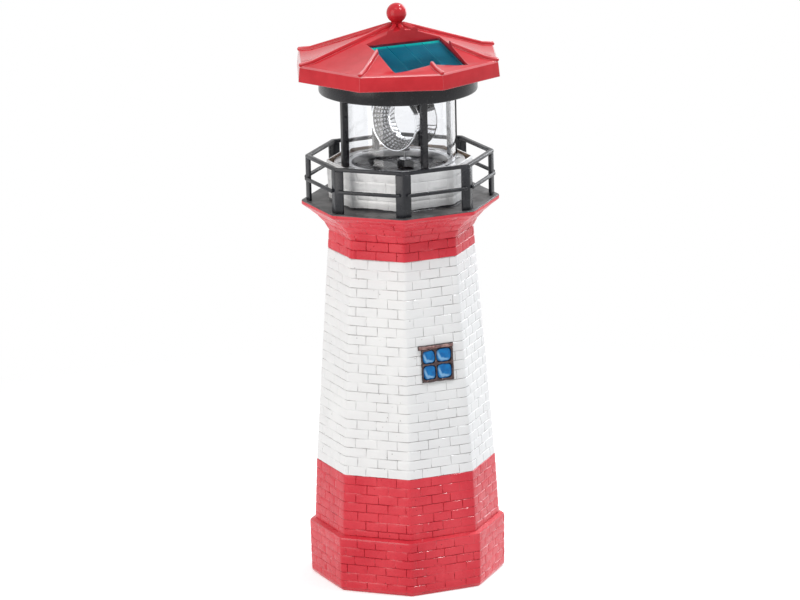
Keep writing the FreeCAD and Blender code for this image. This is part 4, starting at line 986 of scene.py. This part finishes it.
def roof_plastic():
    """Glossy red plastic with flow marks from the gate, a glossier coat on the ribs, and a
    painted highlight: ribs, eaves and rounded edges are mixed to a lighter pink.
    Edges above the panel's head are left out, so that the claws stay plain."""
    plastic = Finish("roof_red")
    flow = plastic.patches(0.030, 3, (1, 1, 2))
    cloud = plastic.patches(0.007, 4, shift=2.0)
    tone = plastic.mix(flow * 0.6 + cloud * 0.4, (0.47, 0.012, 0.020), (0.58, 0.022, 0.032))
    soft = plastic.node("Bevel", {"Radius": EDGE_RADIUS}, samples=6)
    flat = plastic.node("NewGeometry", None, "Normal")
    turned = plastic.node("VectorMath", {0: soft, 1: flat}, 1, operation="DOT_PRODUCT")
    below = plastic.level().rise(PANEL_HEAD + MM, PANEL_HEAD - MM)
    # Painted highlight: where the Bevel node rounds an edge, below the panel's head, the red is
    # mixed to a lighter pink.
    edge = turned.rise(0.985, 0.93) * below
    ridge_highlight = plastic.attribute("ridge_highlight") + edge * 0.9
    tone = plastic.mix(ridge_highlight * 0.45, tone, (0.85, 0.30, 0.32))
    gloss = plastic.grain(0.010, 4, shift=3.0).rise(0.3, 0.7, 0.12, 0.20)
    wave_marks = plastic.bump(plastic.grain(0.016, 2, shift=5.0), 0.00022, soft)
    normal = plastic.bump(plastic.grain(0.0011, 2, shift=7.0), 0.00003, wave_marks)
    return plastic.surface(tone, gloss, normal, Specular_IOR_Level=0.28,
                           Coat_Weight=ridge_highlight, Coat_Roughness=0.06)


roof_red = roof_plastic()
pan_black = moulded_black(
    "pan_black", (0.006, 0.006, 0.008), (0.014, 0.014, 0.017), 0.22, 0.32)
moulded("roof_pan", "lamp_tray", pan_black, 0.3)
roof = moulded("roof_moulding", "roof_shell", roof_red, 0.45, segments=3, angle=26, smooth=32)
RIB_HALF = 0.8
CLAW_REACH = 13
EAVE_REACH, EAVE_LEVEL = 59.5, 0.318
# Hips and the eave's top edge are marked for a painted highlight in lighter pink and a glossier
# coat.
ridge_highlight = roof.data.attributes.new("ridge_highlight", "FLOAT", "POINT")
for point in roof.data.vertices:
    out = math.hypot(point.co.x, point.co.y) / MM
    up = point.normal.z
    bearing = (math.atan2(point.co.y, point.co.x) + HALF_TURN) % (2 * HALF_TURN) - HALF_TURN
    on_hip = abs(bearing) * out < RIB_HALF and up > 0.6 and out > CLAW_REACH
    on_eave = out > EAVE_REACH and point.co.z > EAVE_LEVEL and 0.3 < up < 0.85
    ridge_highlight.data[point.index].value = 1.0 if on_hip else 0.7 if on_eave else 0.0
moulded("roof_ball", "finial", roof_red, 0.2, angle=34, smooth=40)


# ---- Solar panel ----
# Four dark wafers on a backing board lie in a well of the roof, on a foam seal. A
# thin clear sheet, tinted teal, is laid over them and glued at its edges.
FINGER_PITCH = 0.0009
BAND_FOOT, BAND_HEAD = -0.0135, -0.0105


def wafer_blue():
    """Silicon wafer: fine fingers on a deep teal face, and a painted highlight: a light green
    band at the top edge.
    """
    wafer = Finish("solar_wafer")
    across = wafer.level("Y")
    fingers = wafer.node("Math", {0: across, 1: FINGER_PITCH}, operation="PINGPONG")
    line = fingers.rise(0.00010, 0.00004)
    cloud = wafer.patches(0.012, 4)
    # Painted highlight: a light green band along the top edge, where the cover's edge catches the
    # light.
    top = across.rise(BAND_FOOT, BAND_HEAD) * 0.9
    tone = wafer.mix(cloud, (0.0, 0.050, 0.088), (0.0, 0.078, 0.124))
    tone = wafer.mix(line * 0.12, tone, (0.05, 0.30, 0.36))
    tone = wafer.mix(top, tone, (0.0, 0.30, 0.24))
    return wafer.surface(tone, cloud.rise(0, 1, 0.35, 0.5), Specular_IOR_Level=0.08)


def cover_clear():
    """Thin teal sheet; its low index keeps the wafers dark under a bright sky."""
    cover = Finish("solar_cover")
    flow = cover.patches(0.02, 2)
    tone = cover.mix(flow, (0.35, 0.86, 0.92), (0.45, 0.92, 0.96))
    sheet = cover.shader(tone, flow.rise(0, 1, 0.03, 0.06), cover.bump(flow, 0.00008),
                         IOR=1.05, Transmission_Weight=1.0)
    return see_through(cover, sheet, (0.6, 0.9, 0.95))


def repainted(material, *nodes):
    """Gives designed parts that stay as they are their finish."""
    for node in nodes:
        part = frame["nodes"][node]
        for place in part.material_slots:
            place.material = material


def soft_plastic(name, dark, light, rough, size=0.004):
    """Unpainted moulding: slight clouding and a fine grained skin."""
    plastic = Finish(name)
    cloud = plastic.patches(size, 4)
    tone = plastic.mix(cloud, dark, light)
    normal = plastic.skin(0.00006, 0.0007, 3, shift=5.0)
    return plastic.surface(tone, cloud.rise(0, 1, rough - 0.05, rough + 0.05), normal)


def seal_foam():
    """Black foam tape with open cells."""
    foam = Finish("seal_foam")
    cells = foam.node("TexVoronoi", {"Vector": foam.place(), "Scale": 1400.0})
    tone = foam.mix(cells.rise(0, 0.7), (0.02, 0.02, 0.022), (0.05, 0.05, 0.052))
    return foam.surface(tone, 0.9, foam.bump(cells, 0.0002))


repainted(wafer_blue(), "solar_cells")
repainted(cover_clear(), "solar_cover")
repainted(soft_plastic("panel_back", (0.0, 0.075, 0.11), (0.0, 0.11, 0.15), 0.5),
          "solar_backing")
repainted(seal_foam(), "panel_seal")


# ---- Reflector ----
# Two chromed cups joined back to back, open through the middle. Each is stepped in
# rings and fluted all round, so that it breaks the lamp's light into facets.
SPINDLE_X = 3.8
CUP_TURN = -156.4
CUP_LEVEL = 287.2
CUP_START = 0.35
CUP_REACH = 8.95
THROAT_RADIUS = 12.0
MOUTH_RADIUS = 17.3
STEP = 0.85
RINGS = 5
FLUTES = 36
# Shares of a ring's depth, and how far its fluted wall bulges there.
RING_WALL = ((0.0, 0.0), (0.2, 0.42), (0.5, 0.62), (0.8, 0.50), (1.0, 0.30))
RIM = ((9.45, 17.0), (9.65, 17.25), (9.9, 17.15), (10.15, 17.35), (10.3, 17.75),
       (10.3, 18.0), (10.15, 18.25), (9.9, 18.3), (9.5, 18.3), (9.35, 18.2))
# Points of the rim, counted along the whole outline, that get a painted dark reflection.
DARK_IN_RIM = (25, 27, 34)


def chrome_plate(name, rough):
    """Vacuum chrome: bright, with a grey haze, a few pits and, on the cups, a painted dark
    reflection.
    """
    chrome = Finish(name)
    haze = chrome.grain(0.008, 4).rise(0.35, 0.7)
    pits = chrome.grain(0.0011, 2, shift=3.0).rise(0.70, 0.78)
    tone = chrome.mix(haze, (0.90, 0.90, 0.91), (0.97, 0.97, 0.97))
    tone = chrome.mix(pits * 0.5, tone, (0.40, 0.38, 0.36))
    # Painted reflection: the cups' marked points are darkened as if they mirrored dark
    # surroundings.
    tone = chrome.mix(chrome.attribute("painted_dark_reflection"), tone, (0.045, 0.042, 0.04))
    gloss = haze.rise(0, 1, rough + 0.06, rough)
    normal = chrome.skin(0.00003, 0.002, 2, shift=6.0)
    return chrome.surface(tone, gloss, normal, Metallic=1.0)


def cup_outline():
    """Closed outline of one cup as (reach, radius, flute depth), inner side first."""
    points = []
    for k in range(RINGS):
        start, end = k / RINGS, (k + 1) / RINGS
        wide = THROAT_RADIUS + (MOUTH_RADIUS - THROAT_RADIUS) * end ** 0.8
        for share, bulge in RING_WALL:
            points.append((CUP_START + CUP_REACH * (start + (end - start) * share),
                           wide - STEP + STEP * share ** 0.5 * (0.6 + 0.4 * bulge),
                           0.22 + bulge * 0.5))
    points += [(reach, radius, 0.0) for reach, radius in RIM]
    for share in (0.95, 0.8, 0.6, 0.4, 0.2, 0.05):
        points.append((CUP_START + CUP_REACH * share,
                       THROAT_RADIUS + STEP + 5.2 * share ** 0.8, 0.0))
    points.append((0.3, 12.2, 0.0))
    return points


def hollow_shade(k, flute, swell):
    """How much painted dark reflection the chrome gets at a point: between flutes and where a
    ring ends.
    """
    inside = k < RINGS * len(RING_WALL)
    place = k % len(RING_WALL)
    if k in DARK_IN_RIM or inside and place == len(RING_WALL) - 1:
        return 1.0
    valley = 0.75 * (1 - swell) ** 3 if flute > 0 else 0.0
    return max(valley, 0.55) if inside and place == 0 else valley


def cup(name, node, turn, material):
    work = bmesh.new()
    painted_dark_reflection = work.verts.layers.float.new("painted_dark_reflection")
    steps = FLUTES * 4
    away = Vector((math.cos(math.radians(turn)), math.sin(math.radians(turn)), 0))
    side = Vector((-away.y, away.x, 0))
    rings = []
    for n in range(steps):
        angle = 2 * math.pi * n / steps
        across = side * math.cos(angle) + Vector((0, 0, 1)) * math.sin(angle)
        swell = abs(math.sin(FLUTES * angle / 2))
        ring = []
        for k, (reach, radius, flute) in enumerate(cup_outline()):
            r = radius - flute * swell
            place = Vector((SPINDLE_X, 0, CUP_LEVEL)) + away * reach + across * r
            point = work.verts.new(place * MM)
            point[painted_dark_reflection] = hollow_shade(k, flute, swell)
            ring.append(point)
        rings.append(ring)
    join_rings(work, rings + rings[:1])
    bmesh.ops.recalc_face_normals(work, faces=work.faces)
    stands_for(new_piece(name, work, 24, material), node)


chrome = chrome_plate("chrome", 0.05)
cup("cup_front", "reflector_front", CUP_TURN, chrome)
cup("cup_rear", "reflector_rear", CUP_TURN + 180, chrome)
moulded("cup_saddle", "reflector_hub", chrome, 0.2)


# ---- Spindle, lamp and drive ----
# A steel spindle with a pressed collar turns the cups. Below the floor a motor
# drives it through two nylon gears; the cell, switch and board sit beneath them.
HEAD_STEPS = 40
SLOT_REACH = 1.18
SLOT_HALF = 0.26
SLOT_DEPTH = 0.62


def plain_steel():
    """Bright steel, brushed along its length."""
    steel = Finish("bright_steel")
    brushed = steel.patches(0.0012, 3, (1, 1, 0.08))
    tone = steel.mix(brushed, (0.46, 0.46, 0.47), (0.68, 0.68, 0.69))
    normal = steel.bump(brushed, 0.00002)
    return steel.surface(tone, brushed.rise(0, 1, 0.22, 0.36), normal, Metallic=1.0)


def board_green():
    """Circuit board: green lacquer over the copper traces."""
    board = Finish("board_green")
    trace = board.grain(0.0022, 1, (1, 3, 1)).rise(0.52, 0.56)
    tone = board.mix(trace, (0.010, 0.10, 0.035), (0.020, 0.18, 0.060))
    normal = board.bump(trace, 0.00004)
    return board.surface(tone, trace.rise(0, 1, 0.42, 0.3), normal)


def screws(name, node, place, level, length, copies, first, step):
    """Countersunk cross-head screws whose heads face down, copied round the axis."""
    work = bmesh.new()
    outline = ((0.30, SLOT_DEPTH), (0.34, 0.0), (1.15, 0.0), (1.20, 0.0), (2.2, 0.0),
               (2.3, 0.12), (1.3, 1.2), (1.25, length - 1.6), (0.15, length))
    rings = []
    for radius, rise in outline:
        ring = []
        for n in reversed(range(HEAD_STEPS)):
            angle = 2 * math.pi * (n + 0.5) / HEAD_STEPS
            x, y = radius * math.cos(angle), radius * math.sin(angle)
            in_slot = min(abs(x), abs(y)) < SLOT_HALF and radius < SLOT_REACH
            up = level + max(rise, SLOT_DEPTH if in_slot else 0.0)
            ring.append(work.verts.new(Vector((place + x, y, up)) * MM))
        rings.append(ring)
    join_rings(work, rings)
    work.faces.new(rings[0])
    work.faces.new(rings[-1][::-1])
    bmesh.ops.recalc_face_normals(work, faces=work.faces)
    piece = new_piece(name, work, 30, steel)
    copied_round(piece, steel, copies, first, step)
    softened(piece, 30)
    stands_for(piece, node)


repainted(board_green(), "led_board", "control_board")
steel = plain_steel()
screws("seat_screws", "frame_screws", 36.5, 259.5, 7.5, 3, 180, 90)
screws("pan_screws", "roof_screws", 43.56, 305.9, 13.0, 4, 45, 90)
screws("gear_plate_screws", "plate_screws", 26.0, 247.2, 8.0, 3, 30, 120)
nylon = soft_plastic("nylon", (0.66, 0.64, 0.58), (0.78, 0.76, 0.71), 0.42)
plated_brass = chrome_plate("plated_brass", 0.2)
floor_black = moulded_black(
    "floor_black", (0.008, 0.008, 0.010), (0.016, 0.016, 0.019), 0.22, 0.12)
moulded("housing_can", "drive_housing", floor_black, 0.25)
moulded("housing_lid", "housing_cover", floor_black, 0.25)
moulded("housing_door", "battery_door", floor_black, 0.2)
moulded("switch_button", "switch_knob", floor_black, 0.2)
COLLAR_OUTLINE = ((1.2, 262.3), (3.3, 262.3), (3.65, 262.45), (3.7, 262.7), (3.6, 262.95),
                  (3.2, 263.1), (2.2, 263.1), (1.9, 263.05), (1.2, 263.05))
lathe("collar", "shaft_collar", COLLAR_OUTLINE, 64, steel, SPINDLE_X)
repainted(steel, "reflector_shaft", "cover_screws", "drive_motor",
          "motor_shaft", "idler_pin", "battery_contacts")
repainted(nylon, "output_gear", "idler_gear", "led_post")
repainted(plated_brass, "shaft_bush", "motor_pinion")
repainted(floor_black, "gear_plate", "battery_holder")
repainted(soft_plastic("parts_grey", (0.05, 0.05, 0.055), (0.11, 0.11, 0.12), 0.4),
          "board_parts", "power_switch")
repainted(soft_plastic("lead_sleeve", (0.10, 0.008, 0.008), (0.20, 0.016, 0.016), 0.45),
          "supply_leads")
repainted(soft_plastic("cell_sleeve", (0.02, 0.16, 0.10), (0.04, 0.26, 0.16), 0.3, 0.02),
          "battery")
repainted(clear_moulding("lamp_lens", (1, 1, 1), ACRYLIC_IOR, 0.02), "led")
